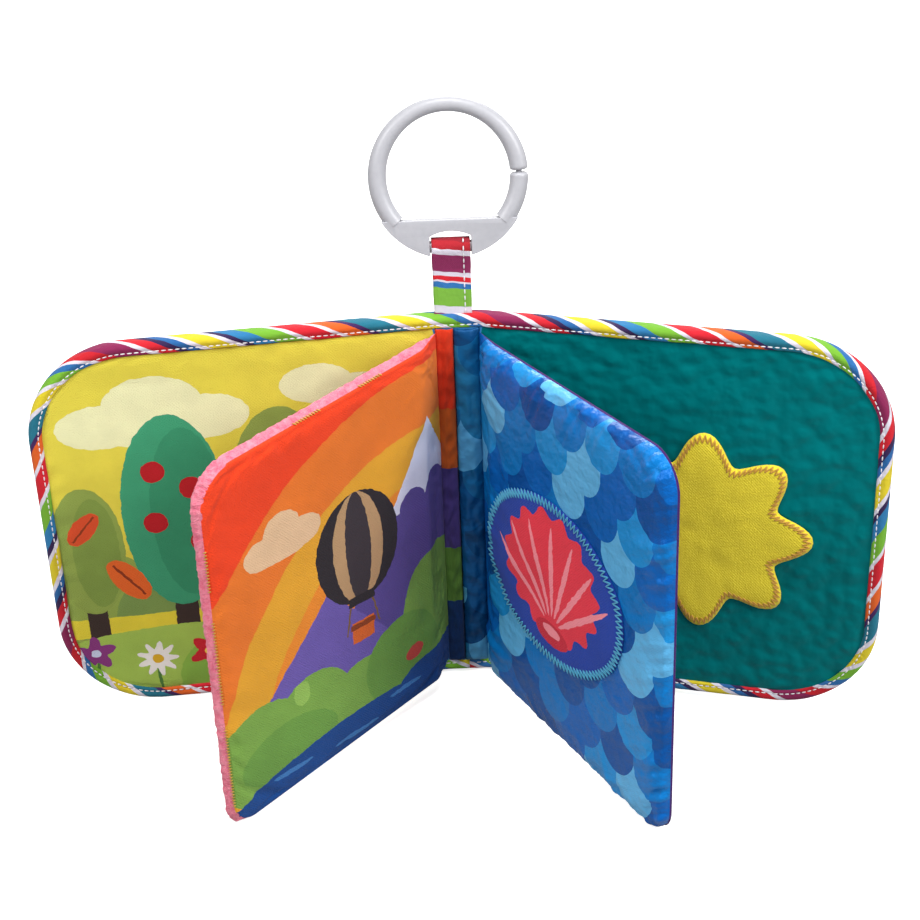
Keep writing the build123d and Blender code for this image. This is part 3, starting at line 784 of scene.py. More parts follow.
# %% Tape and thread
WHITE_STRIPE, STRAP_WHITE = (3.1, "#d6d1dd"), "#d9d4e0"
TAPE_STRIPES = [
    (8, "#c01c28"), (12, "#82204e"), WHITE_STRIPE, (7, "#c41d2b"), (4, "#2f1d49"), (5, "#265f9a"), WHITE_STRIPE,
    (10, "#d3c02a"), WHITE_STRIPE, (3.5, "#2f1d49"), (8, "#2a74a6"), (10, "#6fa930"), WHITE_STRIPE, (11, "#c41d2b"),
    WHITE_STRIPE, (8, "#d45c20"), (3.5, "#3d2054"), (11, "#1f6d83"), WHITE_STRIPE, (9, "#d3c02a"), WHITE_STRIPE,
    (8, "#6fa930"), (5, "#2a659f"), WHITE_STRIPE,
]
STRAP_STRIPES = [
    (2.5, STRAP_WHITE), (2.0, "#8a2a58"), (3.2, STRAP_WHITE), (7.2, "#79b23f"), (2.2, "#2f6fae"),
    (0.8, STRAP_WHITE), (1.8, "#d3222f"), (1.8, STRAP_WHITE), (7.6, "#8a2a58"), (2.2, STRAP_WHITE),
    (3.0, "#a81f2a"), (3.0, "#8e1d2a"),
]


def striped_tape(name, stripes, slant):
    """Cotton tape in flat stripes along its length; slant is how far they run on for each millimetre across."""
    material, tree = new_material(name)
    place = node(tree, "VectorMath", {0: node(tree, "UVMap"), "Scale": 1 / MM}, operation="SCALE")
    parts = node(tree, "SeparateXYZ", {0: place})
    along = maths(tree, "MULTIPLY_ADD", parts.outputs[1], -slant, parts)
    creep = node(tree, "TexNoise", {"Vector": place, "Scale": 0.2, "Detail": 1.0})
    bent = maths(tree, "MULTIPLY_ADD", creep, 1.4, along)
    share = maths(tree, "MULTIPLY", bent, 1 / sum(width for width, _ in stripes))
    turn = maths(tree, "FRACT", share)
    relief = nap(tree, place, height=0.35, scale=0.7, detail=3.0)
    cloth_surface(tree, banded(tree, turn, stripes), place, relief, thread=0.8, weave_depth=0.1, Roughness=0.75,
                  Sheen_Weight=0.06, Specular_IOR_Level=0.2)
    return material


def thread_material(name, ink):
    """Spun thread: a soft gloss, with its twist as fine slanting ridges and painted shade in the grooves between
    them.
    """
    material, tree = new_material(name)
    twist = node(tree, "TexWave", {"Vector": flat_place(tree, Matrix.Identity(4)), "Scale": 1.4, "Distortion": 1.0},
                 bands_direction="DIAGONAL")
    # The twist's grooves are painted darker than the thread's ink, as painted shade between its ridges.
    deep = (*(0.78 * c for c in colour(ink)[:3]), 1.0)
    tone = node(tree, "Mix", {0: twist, 6: deep, 7: colour(ink)}, data_type="RGBA")
    bump = node(tree, "Bump", {"Height": twist, "Strength": 0.4, "Distance": 0.1 * MM})
    finish_surface(tree, Base_Color=tone.outputs[2], Normal=bump, Roughness=0.55, Sheen_Weight=0.2)
    return material


bias_tape = striped_tape("cotton_bias_tape", TAPE_STRIPES, slant=1.85)
strap_tape = striped_tape("cotton_strap_tape", STRAP_STRIPES, slant=-0.12)
white_thread = thread_material("polyester_thread_white", "#f0eef2")
gold_thread = thread_material("rayon_thread_gold", "#c8942a")
print("tape repeats every", sum(width for width, _ in TAPE_STRIPES), "mm")

# %% Where the tape runs
TAPE_HALF = [(5.2, -0.9), (5.1, -0.3), (4.6, 0.1), (4.15, 0.06), (3.8, -0.12), (3.4, 0.1), (2.8, 0.34), (2.1, 0.42),
             (1.4, 0.28), (0.9, -0.05), (0.45, -0.6), (0.15, -1.4), (0.02, -2.4)]
TAPE_SECTION = np.array([*TAPE_HALF, (0.0, SEAM_DEPTH),
                         *((inward, 2 * SEAM_DEPTH - depth) for inward, depth in reversed(TAPE_HALF))])
BEND_X, BEND_Y, BEND = COVER_WIDTH - COVER_CORNER, COVER_HEIGHT - COVER_CORNER, math.pi / 2 * COVER_CORNER
TAPE_MARKS = np.cumsum([GUTTER / 2 + BEND_X, BEND, BEND_Y - COVER_CORNER, BEND])
TAPE_LENGTH = TAPE_MARKS[3] + TAPE_MARKS[0]
HINGE_REACH = 4


def edge_at(run):
    """The place on a cover's edge at each distance along the tape, and the direction into the cover there."""
    angle = np.interp(run, TAPE_MARKS, (0, math.pi / 2, math.pi / 2, math.pi))
    inward = np.stack([-np.sin(angle), -np.cos(angle)], 1)
    out = BEND_X + np.minimum(run - TAPE_MARKS[0], 0) - np.maximum(run - TAPE_MARKS[3], 0)
    high = BEND_Y - np.clip(run - TAPE_MARKS[1], 0, BEND_Y - COVER_CORNER)
    return np.stack([out, high], 1) - COVER_CORNER * inward, inward


def over_hinge(out, depth, angle):
    """Bend what lies past the seam back into line with the spine."""
    share = np.clip((out / HINGE_REACH + 1) / 2, 0, 1)
    turn = math.radians(angle) * (1 - share**2 * (3 - 2 * share))
    return out * np.cos(turn) + depth * np.sin(turn), -out * np.sin(turn) + depth * np.cos(turn)


def on_tape(side, run, inward, depth):
    """Flat panel coordinates of points on the tape."""
    edge, into = edge_at(run)
    flat = edge + into * inward[:, None]
    out, depth = over_hinge(flat[:, 0], depth, COVER_ANGLE[side])
    return np.stack([side * out, lift_foot(flat[:, 0], flat[:, 1]), depth], 1)


print("tape round one cover", round(TAPE_LENGTH), "mm")

# %% Fold the tape
def cross_hinge(piece, side):
    """Settle a piece that runs over the spine and one cover, with its place baked into its points."""
    settle(piece, COVER_FRAME[side])
    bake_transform(piece)


def fold_tape(name, side):
    """A strip folded over a cover's edge, with a stitched groove and a little ripple."""
    last = len(TAPE_SECTION) - 1
    tape = new_grid(name, 260, last)
    share = (points_of(tape) + 1) / 2
    run, step = share[:, 0] * TAPE_LENGTH, np.rint(share[:, 1] * last).astype(int)
    inward, depth = TAPE_SECTION[step].T.copy()
    front = np.sign(depth - SEAM_DEPTH)
    wave, ripple = (noise_at(run / spacing, front, seed * side) for spacing, seed in ((14, 3.0), (3.5, 7.0)))
    inward += 0.3 * wave * (inward > 4.4)
    depth += front * (0.28 * wave + 0.16 * ripple) * (inward < 3.6) * (inward > 0.4)
    set_points(tape, on_tape(side, run, inward, depth))
    across = run_along(TAPE_SECTION)
    lay_uv(tape, side * run, (across[len(TAPE_HALF)] - across)[step])
    if side == LEFT:
        edit_mesh(tape, bpy.ops.mesh.flip_normals)
    apply_modifier(tape, "SOLIDIFY", thickness=0.7, offset=-1)
    tape.data.materials.append(bias_tape)
    return tape


for side, name, nodes in ((LEFT, "left_tape", ("left_cover_binding", "spine_binding_top")),
                          (RIGHT, "right_tape", ("right_cover_binding", "spine_binding_foot"))):
    tape = fold_tape(name, side)
    cross_hinge(tape, side)
    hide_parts(*nodes)

# %% [markdown]
# ## Stitches
# Each stitch is a short bead of thread that lies in a shallow groove. One bead is modelled and copied along a row,
# each copy turned to the row and pressed into the cloth.

# %% A row of stitches
def bead():
    bpy.ops.object.select_all(action="DESELECT")
    bpy.ops.mesh.primitive_uv_sphere_add(segments=6, ring_count=4, radius=0.5)
    made = bpy.context.object
    points, faces = points_of(made)[:, [2, 0, 1]], [tuple(face.vertices) for face in made.data.polygons]
    bpy.data.objects.remove(made)
    return points, faces


BEAD_POINTS, BEAD_FACES = bead()
STITCH_INWARD, STITCH_DEPTH, STITCH_PITCH, STITCH_HALF = 3.8, 0.05, 2.5, 0.95


def sew_row(name, places, ends, raised, thickness, material):
    """Beads of thread centred on places, each as long as ends and lying under the direction that is raised."""
    places, ends, raised = (np.asarray(value, float) for value in (places, ends, raised))
    lift = unit(raised - ends * ((raised * ends).sum(1) / (ends**2).sum(1))[:, None])
    beside = np.cross(lift, unit(ends))
    axes = (ends, beside * thickness, lift * thickness)
    points = places[:, None] + sum(BEAD_POINTS[None, :, i, None] * axis[:, None] for i, axis in enumerate(axes))
    count = len(BEAD_POINTS)
    faces = [tuple(index + count * copy for index in face) for copy in range(len(places)) for face in BEAD_FACES]
    mesh = bpy.data.meshes.new(name)
    mesh.from_pydata(points.reshape(-1, 3).tolist(), [], faces)
    mesh.materials.append(material)
    row = bpy.data.objects.new(name, mesh)
    bpy.context.scene.collection.objects.link(row)
    edit_mesh(row, bpy.ops.mesh.normals_make_consistent, inside=False)
    return row


def tape_stitches(name, side):
    """A row of stitches in the tape's groove on the inside of a cover, and one on the outside."""
    run = np.arange(2, TAPE_LENGTH - 2, STITCH_PITCH)
    rows = []
    for depth, up in ((STITCH_DEPTH, 1.0), (2 * SEAM_DEPTH - STITCH_DEPTH, -1.0)):
        tail, middle, tip = (on_tape(side, run + move, 0 * run + STITCH_INWARD, 0 * run + depth)
                             for move in (-STITCH_HALF, 0, STITCH_HALF))
        rows.append((middle, tip - tail, np.tile([0, 0, up], (len(run), 1))))
    return sew_row(name, *(np.concatenate(parts) for parts in zip(*rows)), 0.54, white_thread)


for side, name in ((LEFT, "left_tape_stitches"), (RIGHT, "right_tape_stitches")):
    cross_hinge(tape_stitches(name, side), side)

# %% The overlocked seam of the left leaf
LOOP_PITCH, HEAD_RUN = 1.3, 150


def overlock(name, seam):
    """Gold thread that grins through along a leaf's head and free edge: short loops that slant over the seam."""
    run = run_along(seam)
    step = np.arange(10, run[-1] - LEAF_WIDTH - 4, LOOP_PITCH)
    step = step[noise_at(step / 16, 2.0, 5.0) > -0.12 + 0.3 * (step < HEAD_RUN)]
    at, ahead = (np.stack([np.interp(step + move, run, part) for part in seam.T], 1) for move in (0, 1))
    along = ahead - at
    outward = unit(np.stack([along[:, 1], -along[:, 0], 0 * step], 1))
    outward *= np.sign((outward * (at - seam.mean(0))).sum(1))[:, None]
    loops = 0.9 * along + 0.5 * outward - (0, 0, 1.5)
    return sew_row(name, at + 0.3 * outward + (0, 0, 0.45), loops, outward + (0, 0, 1), 0.6, gold_thread)


stand(overlock("left_leaf_overlock", left_seam), LEAF_FRAME[LEFT], "left_leaf")

# %% [markdown]
# ## The spine
# Between the two sewn seams runs a stuffed strip. Its outside is the outer cloth, bowed out, and its inside is two
# strips printed like the leaves' cloth that meet in a seam; their inks are darker than the leaves', as painted shade
# for the deep gutter. They bulge between the seams and wrinkle across, because the stitching gathers them.

# %% Gutter strips
STRIP_SEAM, STRIP_END = -1.61, 8.4
SPINE_MIDDLE, STRIP_HALF, SPINE_HALF = 80.25, 74.5, 78.4
# The gutter print's inks are darker than the left leaf's, as painted shade for the deep gutter.
gutter_print_painted_shade = brushed_print("brushed_polyester_gutter_painted_shade", SPINE_FRAME, "#cf3418", [
    ("#b9521c", "bar", (0, 60, 30, 62)), ("#453776", "bar", (0, 50, 30, 46)),
    ("#557a33", "bar", (0, 38, 30, 22)), ("#10305f", "bar", (0, 16, 30, 19))])


def gutter_strip(name, left, right, material, bulge, seed):
    """A strip of cloth that bulges between two seams and is gathered across."""
    strip = new_grid(name, 16, 150)
    share = points_of(strip)
    x, y = (left + right) / 2 + share[:, 0] * (right - left) / 2, SPINE_MIDDLE + share[:, 1] * STRIP_HALF
    dome = np.sqrt(np.clip(1 - share[:, 0] ** 2, 0, 1))
    gather = noise_at(share[:, 0] * 1.5, y / 5, seed)
    ends = np.clip((STRIP_HALF - np.abs(y - SPINE_MIDDLE)) / 5, 0, 1) ** 0.5
    depth = dome * (bulge + 1.2 * gather) * (0.45 + 0.55 * ends)
    set_points(strip, np.stack([x, y, np.clip(depth, 0.02, bulge * 1.25)], 1))
    apply_modifier(strip, "SOLIDIFY", thickness=0.5, offset=-1)
    strip.data.materials.append(material)
    return strip


print_strip = gutter_strip("gutter_print_strip_cloth", -STRIP_END, STRIP_SEAM, gutter_print_painted_shade, bulge=1.5, seed=4.0)
satin_strip = gutter_strip("gutter_satin_strip_cloth", STRIP_SEAM, STRIP_END, gutter_satin, bulge=2.1, seed=6.0)
stand(print_strip, SPINE_FRAME, "spine", "gutter_print_strip")
stand(satin_strip, SPINE_FRAME, "spine", "gutter_satin_strip")

# %% Spine back
SPINE_LEVEL, SPINE_BOW = -0.6, 3.6
spine_cloth = outer_blue("brushed_polyester_spine", SPINE_FRAME)


def spine_back(name):
    """The stuffed strip behind the gutter: nearly flat inside, bowed out behind, a little wider than the gutter."""
    layers = [new_grid(f"{name}_{layer}", 18, 90) for layer in ("inner", "outer")]
    share = points_of(layers[0])
    x, y = share[:, 0] * (STRIP_END + 0.35), SPINE_MIDDLE + share[:, 1] * SPINE_HALF
    ends = np.clip((SPINE_HALF - np.abs(y - SPINE_MIDDLE)) / 2, 0, 1) ** 0.5
    dome = np.clip(1 - share[:, 0] ** 2, 0, 1) ** 0.8 * ends
    gather = noise_at(share[:, 0] * 2, y / 9, 2.5)
    for layer in layers:
        layer.data.materials.append(spine_cloth)
    return sew_pad(name, *layers, np.stack([x, y, SPINE_LEVEL + 0.3 * dome], 1),
                   np.stack([x, y, SPINE_LEVEL - dome * (SPINE_BOW + 0.6 * gather)], 1))


spine_pad = spine_back("spine_cushion")
stand(spine_pad, SPINE_FRAME, "spine", "spine_panel")

# %% [markdown]
# ## The strap
# The strap is the same printed tape, folded round the ring's bar and sewn into the top of the spine. It is a strip
# that follows a line: up the front, round the bar, and down the back.

# %% Strap round the bar
STRAP_MIDDLE, STRAP_WIDTH, STRAP_BEND, BAR_HEIGHT = -1.2, 14.3, 3.15, 186.4
STRAP_FRONT = [(-0.62, 156.0), (-0.62, 160.0), (-0.66, 164.0), (-0.75, 168.0), (-0.85, 173.0), (-1.2, 178.0),
               (-2.1, 182.0)]
STRAP_STITCH_PITCH, STRAP_STITCH_REACH = 2.6, 4.6


def strap_line():
    """The strap's line seen from its side: depth to the reader and height."""
    turn = np.radians(np.linspace(200, -20, 23))
    bend = np.stack([STRAP_BEND * np.cos(turn), BAR_HEIGHT + STRAP_BEND * np.sin(turn)], 1)
    return np.array([*STRAP_FRONT, *bend, *((-depth, high) for depth, high in reversed(STRAP_FRONT))])


STRAP_LINE = strap_line()
STRAP_RUNS = run_along(STRAP_LINE)
STRAP_LENGTH = STRAP_RUNS[-1]


def strap(name):
    """The strap as a strip along its line, with a slight curl on its front and a wavy edge."""
    made = new_grid(name, 90, 14)
    share = points_of(made)
    run, width = (share[:, 0] + 1) / 2 * STRAP_LENGTH, share[:, 1] * STRAP_WIDTH / 2
    depth, high = (np.interp(run, STRAP_RUNS, part) for part in STRAP_LINE.T)
    front = np.clip((run - 6) / 10, 0, 1) * np.clip((STRAP_LENGTH / 2 - 12 - run) / 6, 0, 1)
    wave = noise_at(run / 7, width / 9, 1.0)
    points = np.stack([STRAP_MIDDLE + width + 0.25 * wave, depth - 0.35 * share[:, 1] ** 2 * front, high], 1)
    set_points(made, points)
    lay_uv(made, run, width)
    apply_modifier(made, "SOLIDIFY", thickness=0.9, offset=0)
    made.data.materials.append(strap_tape)
    return made


def strap_stitches(name):
    """One row of stitches up the front of the strap and over the bar, near its right edge."""
    step = np.arange(5, STRAP_LENGTH / 2 - 1, STRAP_STITCH_PITCH)
    depth, high = (np.interp(np.stack([step - 1, step, step + 1]), STRAP_RUNS, part) for part in STRAP_LINE.T)
    ends = np.stack([0 * step, depth[2] - depth[0], high[2] - high[0]], 1)
    raised = np.stack([0 * step, -ends[:, 2], ends[:, 1]], 1)
    places = np.stack([0 * step + STRAP_MIDDLE + STRAP_STITCH_REACH, depth[1], high[1]], 1)
    return sew_row(name, places + 0.65 * unit(raised), ends, raised, 0.6, white_thread)


strap_piece = strap("strap_loop_tape")
stand(strap_piece, Matrix.Identity(4), "spine", "strap_loop")
stand(strap_stitches("strap_stitches"), Matrix.Identity(4), "spine")

# %% [markdown]
# ## The hang ring
# The ring is one moulding in white plastic: a tube that thins towards its crown and swells into a crescent, with a
# slot for the strap. The tube is split at one side, where a small pin bridges the two ends.

# %% White plastic
def moulded_plastic(name, deep, pale):
    """Moulded polypropylene: a soft gloss, a faint orange-peel surface and a little light let in."""
    material, tree = new_material(name)
    peel = node(tree, "TexNoise", {"Vector": flat_place(tree, Matrix.Identity(4)), "Scale": 0.5, "Detail": 2.0})
    tone = node(tree, "ValToRGB", {0: peel})
    for stop, ink in zip(tone.color_ramp.elements, (deep, pale)):
        stop.color = colour(ink)
    bump = node(tree, "Bump", {"Height": peel, "Strength": 0.12, "Distance": 0.4 * MM})
    finish_surface(tree, Base_Color=tone, Normal=bump, Roughness=0.36, IOR=1.49, Subsurface_Weight=0.12,
                   Subsurface_Radius=(1.0, 1.0, 1.0), Subsurface_Scale=1.5 * MM)
    return material


ring_plastic = moulded_plastic("polypropylene_white", "#a6a6ac", "#b1b1b6")

# %% Ring tube
RING_RADIUS, RING_MIDDLE, TUBE_RUN, TUBE_LIFT = 29.4, 25.28, 26.01, 0.59
TUBE_RADIUS, TUBE_THINNING, TIP_ROUND = 3.4, 0.6, 1.3
BASE_DROP, BASE_THICKNESS, SPLIT, SPLIT_HALF = 15.1, 6, 2.0, 0.9
SLOT_RADIUS, SLOT_MIDDLE, SLOT_WIDTH = 16.57, -10.57, 15.4
BAR_RADIUS, BAR_LENGTH = 2.2, 20.6
RING_LEAN = Matrix.Rotation(math.radians(-12.6), 4, "X")
RING_FRAME = Matrix.Translation(Vector((STRAP_MIDDLE, 0, BAR_HEIGHT)) * MM) @ RING_LEAN


def ring_tube(name, tip, root, steps):
    """A tube along the ring's arc in its own XZ plane, round at its free tip."""
    line = bpy.data.curves.new(name, "CURVE")
    line.dimensions, line.bevel_depth, line.bevel_resolution, line.use_fill_caps = "3D", 1.0, 7, True
    spline = line.splines.new("POLY")
    turns = [0.0, 0.12, 0.35, 0.75, 1.3, 2.0, 2.8, *np.linspace(3.6, abs(root - tip), steps)]
    spline.points.add(len(turns) - 1)
    for point, turn in zip(spline.points, turns):
        angle = math.radians(tip + math.copysign(turn, root - tip))
        point.co = (TUBE_RUN * math.cos(angle), 0, RING_MIDDLE + TUBE_LIFT + TUBE_RUN * math.sin(angle), 1)
        inner = TUBE_RADIUS - TUBE_THINNING * max(math.sin(angle), 0) ** 2 - TIP_ROUND
        from_tip = min(math.radians(turn) * TUBE_RUN / TIP_ROUND, 1)
        point.radius = inner + TIP_ROUND * math.sqrt(1 - (1 - from_tip) ** 2)
    made = bpy.data.objects.new(name, line)
    bpy.context.scene.collection.objects.link(made)
    select_only(made)
    bpy.ops.object.convert(target="MESH")
    return bpy.context.object


# %% Ring base, bar and pin
def add_solid(operator, **settings):
    """Add one plain solid, with its place and turn applied."""
    bpy.ops.object.select_all(action="DESELECT")
    operator(**settings)
    bpy.ops.object.transform_apply(location=True, rotation=True, scale=True)
    return bpy.context.object


def combine(piece, operation, other):
    """Join, cut or cross a solid with another, which is used up."""
    apply_modifier(piece, "BOOLEAN", operation=operation, object=other, solver="EXACT")
    bpy.data.objects.remove(other)


def ring_base():
    """The crescent under the tube: the foot of a disc, with an arched slot for the strap and rounded edges."""
    base = add_solid(bpy.ops.mesh.primitive_circle_add, vertices=180, radius=RING_RADIUS, fill_type="NGON")
    edit_mesh(base, bpy.ops.mesh.bisect, plane_co=(0, -BASE_DROP, 0), plane_no=(0, 1, 0), clear_outer=True)
    edit_mesh(base, bpy.ops.mesh.extrude_region_move, TRANSFORM_OT_translate={"value": (0, 0, BASE_THICKNESS)})
    edit_mesh(base, bpy.ops.mesh.normals_make_consistent, inside=False)
    across, high, depth = points_of(base).T
    set_points(base, np.stack([across, BASE_THICKNESS / 2 - depth, high + RING_MIDDLE], 1))
    slot = add_solid(bpy.ops.mesh.primitive_cylinder_add, vertices=96, radius=SLOT_RADIUS, depth=20,
                     rotation=(math.pi / 2, 0, 0), location=(0, 0, SLOT_MIDDLE))
    combine(slot, "INTERSECT", add_solid(bpy.ops.mesh.primitive_cube_add, size=1, scale=(SLOT_WIDTH, 30, 40)))
    combine(base, "DIFFERENCE", slot)
    apply_modifier(base, "BEVEL", width=1.1, segments=4, limit_method="ANGLE", angle_limit=math.radians(50))
    return base


dip = math.degrees(math.asin((BASE_DROP + 1.6) / TUBE_RUN))
upper = ring_tube("ring_upper", SPLIT + SPLIT_HALF, 180 + dip, 84)
lower = ring_tube("ring_lower", SPLIT - SPLIT_HALF, -dip, 20)
pin = ring_tube("ring_pin", SPLIT + 5, SPLIT - 5, 6)
pin_middle = points_of(pin).mean(0)
set_points(pin, (points_of(pin) - pin_middle) * (0.33, 0.33, 1) + pin_middle)
hang_ring = ring_base()
bar = add_solid(bpy.ops.mesh.primitive_cylinder_add, vertices=32, radius=BAR_RADIUS, depth=BAR_LENGTH,
                rotation=(0, math.pi / 2, 0))
for part in (bar, upper, lower, pin):
    combine(hang_ring, "UNION", part)
hang_ring.name = "hang_ring_moulding"
hang_ring.data.materials.clear()
hang_ring.data.materials.append(ring_plastic)
stand(hang_ring, RING_FRAME, "ring", "hang_ring")
select_only(hang_ring)
bpy.ops.object.shade_smooth_by_angle(angle=math.radians(40))

# %% [markdown]
# ## Patches and their zigzag
# An oval patch is sewn on the right leaf and a padded sun on the right cover. A patch is a disc of cloth whose rows
# run round it, laid on the cushion below by casting a ray at each point, so it follows the hollows. A dense zigzag
# of thread holds the edge down, turquoise round the oval and gold on the sun.

# %% Lay a patch
CAST_HEIGHT = 40
PATCH_CROWDING, PATCH_ROUND = 1.6, 5


def lie_on(pad, place, flat):
    """The depth of a cushion's face under flat points of its panel, in millimetres."""
    down = place.to_3x3() @ Vector((0, 0, -1))
    flatten = place.inverted()
    depths = []
    for x, y in flat:
        hit, where, *_ = pad.ray_cast(place @ (Vector((x, y, CAST_HEIGHT)) * MM), down)
        depths.append((flatten @ where).z / MM if hit else 0.0)
    return np.array(depths)


def patch(name, outline, pad, place, material, follow, lift, puff):
    """A puffed disc of cloth inside an outline; follow is how far it takes up the hollows below it."""
    disc = new_grid(name, 128, 16)
    share = (points_of(disc) + 1) / 2
    edge, middle = outline(2 * math.pi * share[:, 0])
    flat = middle + (edge - middle) * ((1 - share[:, 1]) ** PATCH_CROWDING)[:, None]
    inside = np.linalg.norm(edge - flat, axis=1)
    below = lie_on(pad, place, flat)
    depth = below.mean() + follow * (below - below.mean()) + lift + puff * rounded(inside, PATCH_ROUND)
    set_points(disc, np.column_stack([flat, depth]))
    edit_mesh(disc, bpy.ops.mesh.remove_doubles, threshold=MERGE_GAP)
    edit_mesh(disc, bpy.ops.mesh.normals_make_consistent, inside=False)
    if disc.data.polygons[len(disc.data.polygons) // 2].normal.z < 0:
        edit_mesh(disc, bpy.ops.mesh.flip_normals)
    apply_modifier(disc, "SOLIDIFY", thickness=0.5, offset=-1)
    disc.data.materials.append(material)
    return disc


def zigzag(name, outline, pad, place, material, lift, inner, outer, pitch, thickness):
    """Thread that swings between two distances inside an edge, all the way round it."""
    fine = np.linspace(0, 2 * math.pi, 3000)
    run = run_along(outline(fine)[0])
    count = 2 * int(run[-1] / pitch)
    edge, middle = outline(np.interp(np.linspace(0, run[-1], count + 1), run, fine))
    flat = edge + unit(middle - edge) * np.where(np.arange(count + 1) % 2, inner, outer)[:, None]
    knots = np.column_stack([flat, lie_on(pad, place, flat) + lift])
    up = np.tile([0.0, 0.0, 1.0], (count, 1))
    return sew_row(name, (knots[:-1] + knots[1:]) / 2, 1.1 * np.diff(knots, axis=0), up, thickness, material)


OVAL_MIDDLE, OVAL_HALF = np.array([59.0, 75.0]), np.array([45.0, 34.0])
SUN_MIDDLE, SUN_VALLEY, SUN_RAY, SUN_RAYS = np.array([86.0, 77.0]), 31, 11.5, 8


def oval_outline(turns):
    edge = OVAL_MIDDLE + OVAL_HALF * np.stack([np.cos(turns), np.sin(turns)], 1)
    return edge, np.broadcast_to(OVAL_MIDDLE, edge.shape)


def sun_outline(turns):
    reach = SUN_VALLEY + SUN_RAY * (0.5 + 0.5 * np.cos(SUN_RAYS * turns)) ** 0.9
    edge = SUN_MIDDLE + reach[:, None] * np.stack([np.cos(turns), np.sin(turns)], 1)
    return edge, np.broadcast_to(SUN_MIDDLE, edge.shape)


# %% The oval patch with its shell
SHELL_RIBS = [(60 + 25 * math.sin(math.radians(lean)), 55 + 25 * math.cos(math.radians(lean)), 1.3, 19, -lean)
              for lean in range(-54, 55, 18)]
SHELL = [("#e4384a", "shell", (60, 78, 29, 26, 6)), ("#f4909c", "oval", *SHELL_RIBS),
         ("#c9293d", "oval", (60, 53, 11, 5)), ("#f4909c", "oval", (60, 54.5, 6, 2.2))]
patch_cloth = brushed_print("brushed_polyester_patch", LEAF_FRAME[RIGHT], "#2242a4", SHELL)
turquoise_thread = thread_material("polyester_thread_turquoise", "#45a9cf")
oval = patch("oval_patch_cloth", oval_outline, right_leaf, LEAF_FRAME[RIGHT], patch_cloth, follow=1.0, lift=0.5,
             puff=0.5)
stand(oval, LEAF_FRAME[RIGHT], "right_leaf", "oval_patch")
oval_zigzag = zigzag("oval_zigzag", oval_outline, right_leaf, LEAF_FRAME[RIGHT], turquoise_thread, lift=0.95,
                     inner=3.4, outer=-0.7, pitch=2.3, thickness=0.62)
stand(oval_zigzag, LEAF_FRAME[RIGHT], "right_leaf")

# %% The sun patch
sun_cloth = plain_cloth("brushed_polyester_yellow", "#e6d238", COVER_FRAME[RIGHT], thread=1.2, fuzz_scale=1.0,
                        fuzz=0.4, Roughness=0.85, Sheen_Weight=0.08, Specular_IOR_Level=0.15)
sun = patch("sun_patch_cloth", sun_outline, right_cover, COVER_FRAME[RIGHT], sun_cloth, follow=0.5, lift=0.9,
            puff=0.9)
stand(sun, COVER_FRAME[RIGHT], "right_cover", "sun_patch")
sun_zigzag = zigzag("sun_zigzag", sun_outline, sun, COVER_FRAME[RIGHT], gold_thread, lift=0.12, inner=3.9, outer=0.6,
                    pitch=2.1, thickness=0.7)
stand(sun_zigzag, COVER_FRAME[RIGHT], "right_cover")

# %% [markdown]
# ## Light, floor and camera
# The book stands on a white sweep under soft, even light. The floor is lit for the camera's own rays so that it
# stays white, and it keeps a faint shadow. The camera looks down at the open pages, a little turned. Lamps and the
# floor are placed in metres.

# %% Floor and light
def pale_floor():
    bpy.ops.object.select_all(action="DESELECT")
    bpy.ops.mesh.primitive_plane_add(size=8, location=(0, 0, -0.0008))
    floor = bpy.context.object
    floor.name = "floor"
    material, tree = new_material("white_paper_sweep")
    rays = node(tree, "LightPath")
    paper = node(tree, "BsdfDiffuse", {"Color": (0.86, 0.86, 0.86, 1)})
    lit = node(tree, "Emission", {"Color": (1, 1, 1, 1), "Strength": 0.74})
    glow = node(tree, "AddShader", {0: paper, 1: lit})
    dull = node(tree, "BsdfDiffuse", {"Color": (0.42, 0.42, 0.42, 1)})
    pick = node(tree, "MixShader", {0: rays.outputs["Is Camera Ray"], 1: dull, 2: glow})
    node(tree, "OutputMaterial", {"Surface": pick})
    floor.data.materials.append(material)


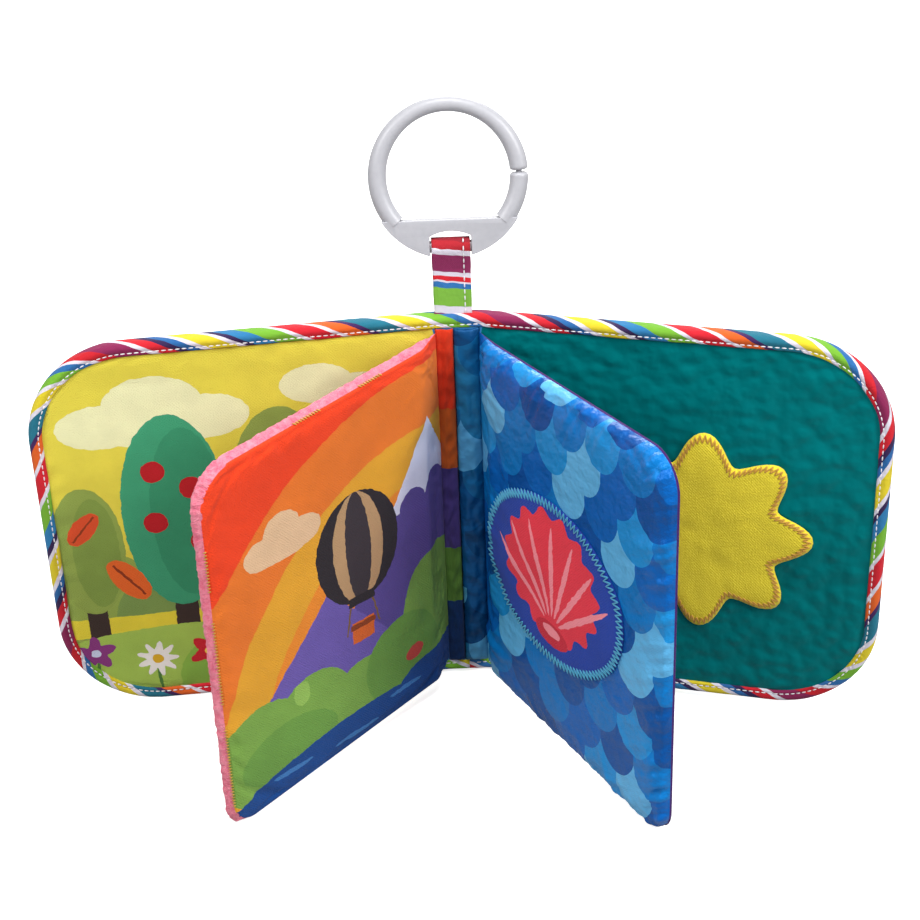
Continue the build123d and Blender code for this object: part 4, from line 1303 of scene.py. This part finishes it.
def soft_lamp(name, place, aim, size, power):
    bpy.ops.object.light_add(type="AREA", location=place)
    lamp = bpy.context.object
    lamp.name, lamp.data.size, lamp.data.energy = name, size, power
    lamp.rotation_euler = (Vector(aim) - Vector(place)).to_track_quat("-Z", "Y").to_euler()


def white_world(strength):
    """A white room: bright where it is seen or mirrored, and dim as a light."""
    world = bpy.data.worlds.new("studio_white")
    bpy.context.scene.world = world
    world.use_nodes = True
    tree = world.node_tree
    tree.nodes.clear()
    rays = node(tree, "LightPath").outputs
    straight = maths(tree, "MAXIMUM", rays["Is Camera Ray"], rays["Is Transmission Ray"])
    seen = maths(tree, "MAXIMUM", straight, rays["Is Glossy Ray"])
    dim, white = (node(tree, "Background", {"Color": (1, 1, 1, 1), "Strength": level}) for level in (strength, 1.0))
    pick = node(tree, "MixShader", {0: seen, 1: dim, 2: white})
    node(tree, "OutputWorld", {"Surface": pick})


pale_floor()
white_world(strength=0.22)
soft_lamp("left", (-0.75, -0.62, 0.85), (0.05, -0.05, 0.08), size=0.45, power=6.8)
soft_lamp("right", (0.8, -0.6, 0.8), (-0.05, -0.05, 0.08), size=0.45, power=10.2)
soft_lamp("top", (0.0, -0.35, 1.25), (0, -0.03, 0.1), size=0.5, power=10.6)
soft_lamp("back", (0.1, 1.0, 0.8), (0, 0.05, 0.08), size=0.6, power=8.0)
bpy.context.scene.view_settings.view_transform = "Standard"
print("floor, world and lamps set")

# %% Camera
CAMERA_AIM = Vector((-0.8, 0, 97.1)) * MM
CAMERA_AWAY, CAMERA_RISE, CAMERA_ROLL = 700 * MM, math.radians(27.7), math.radians(2.2)
FOCAL_PIXELS, PICTURE_PIXELS, SENSOR = 1782, 920, 36
back = Vector((0, -math.cos(CAMERA_RISE), math.sin(CAMERA_RISE)))
bpy.ops.object.camera_add()
camera = bpy.context.object
camera.data.sensor_width = SENSOR
camera.data.lens = SENSOR * FOCAL_PIXELS / PICTURE_PIXELS
aimed = (-back).to_track_quat("-Z", "Y").to_matrix().to_4x4() @ Matrix.Rotation(-CAMERA_ROLL, 4, "Z")
camera.matrix_world = Matrix.Translation(CAMERA_AIM + back * CAMERA_AWAY) @ aimed
bpy.context.scene.camera = camera
print("lens", round(camera.data.lens, 1), "mm")
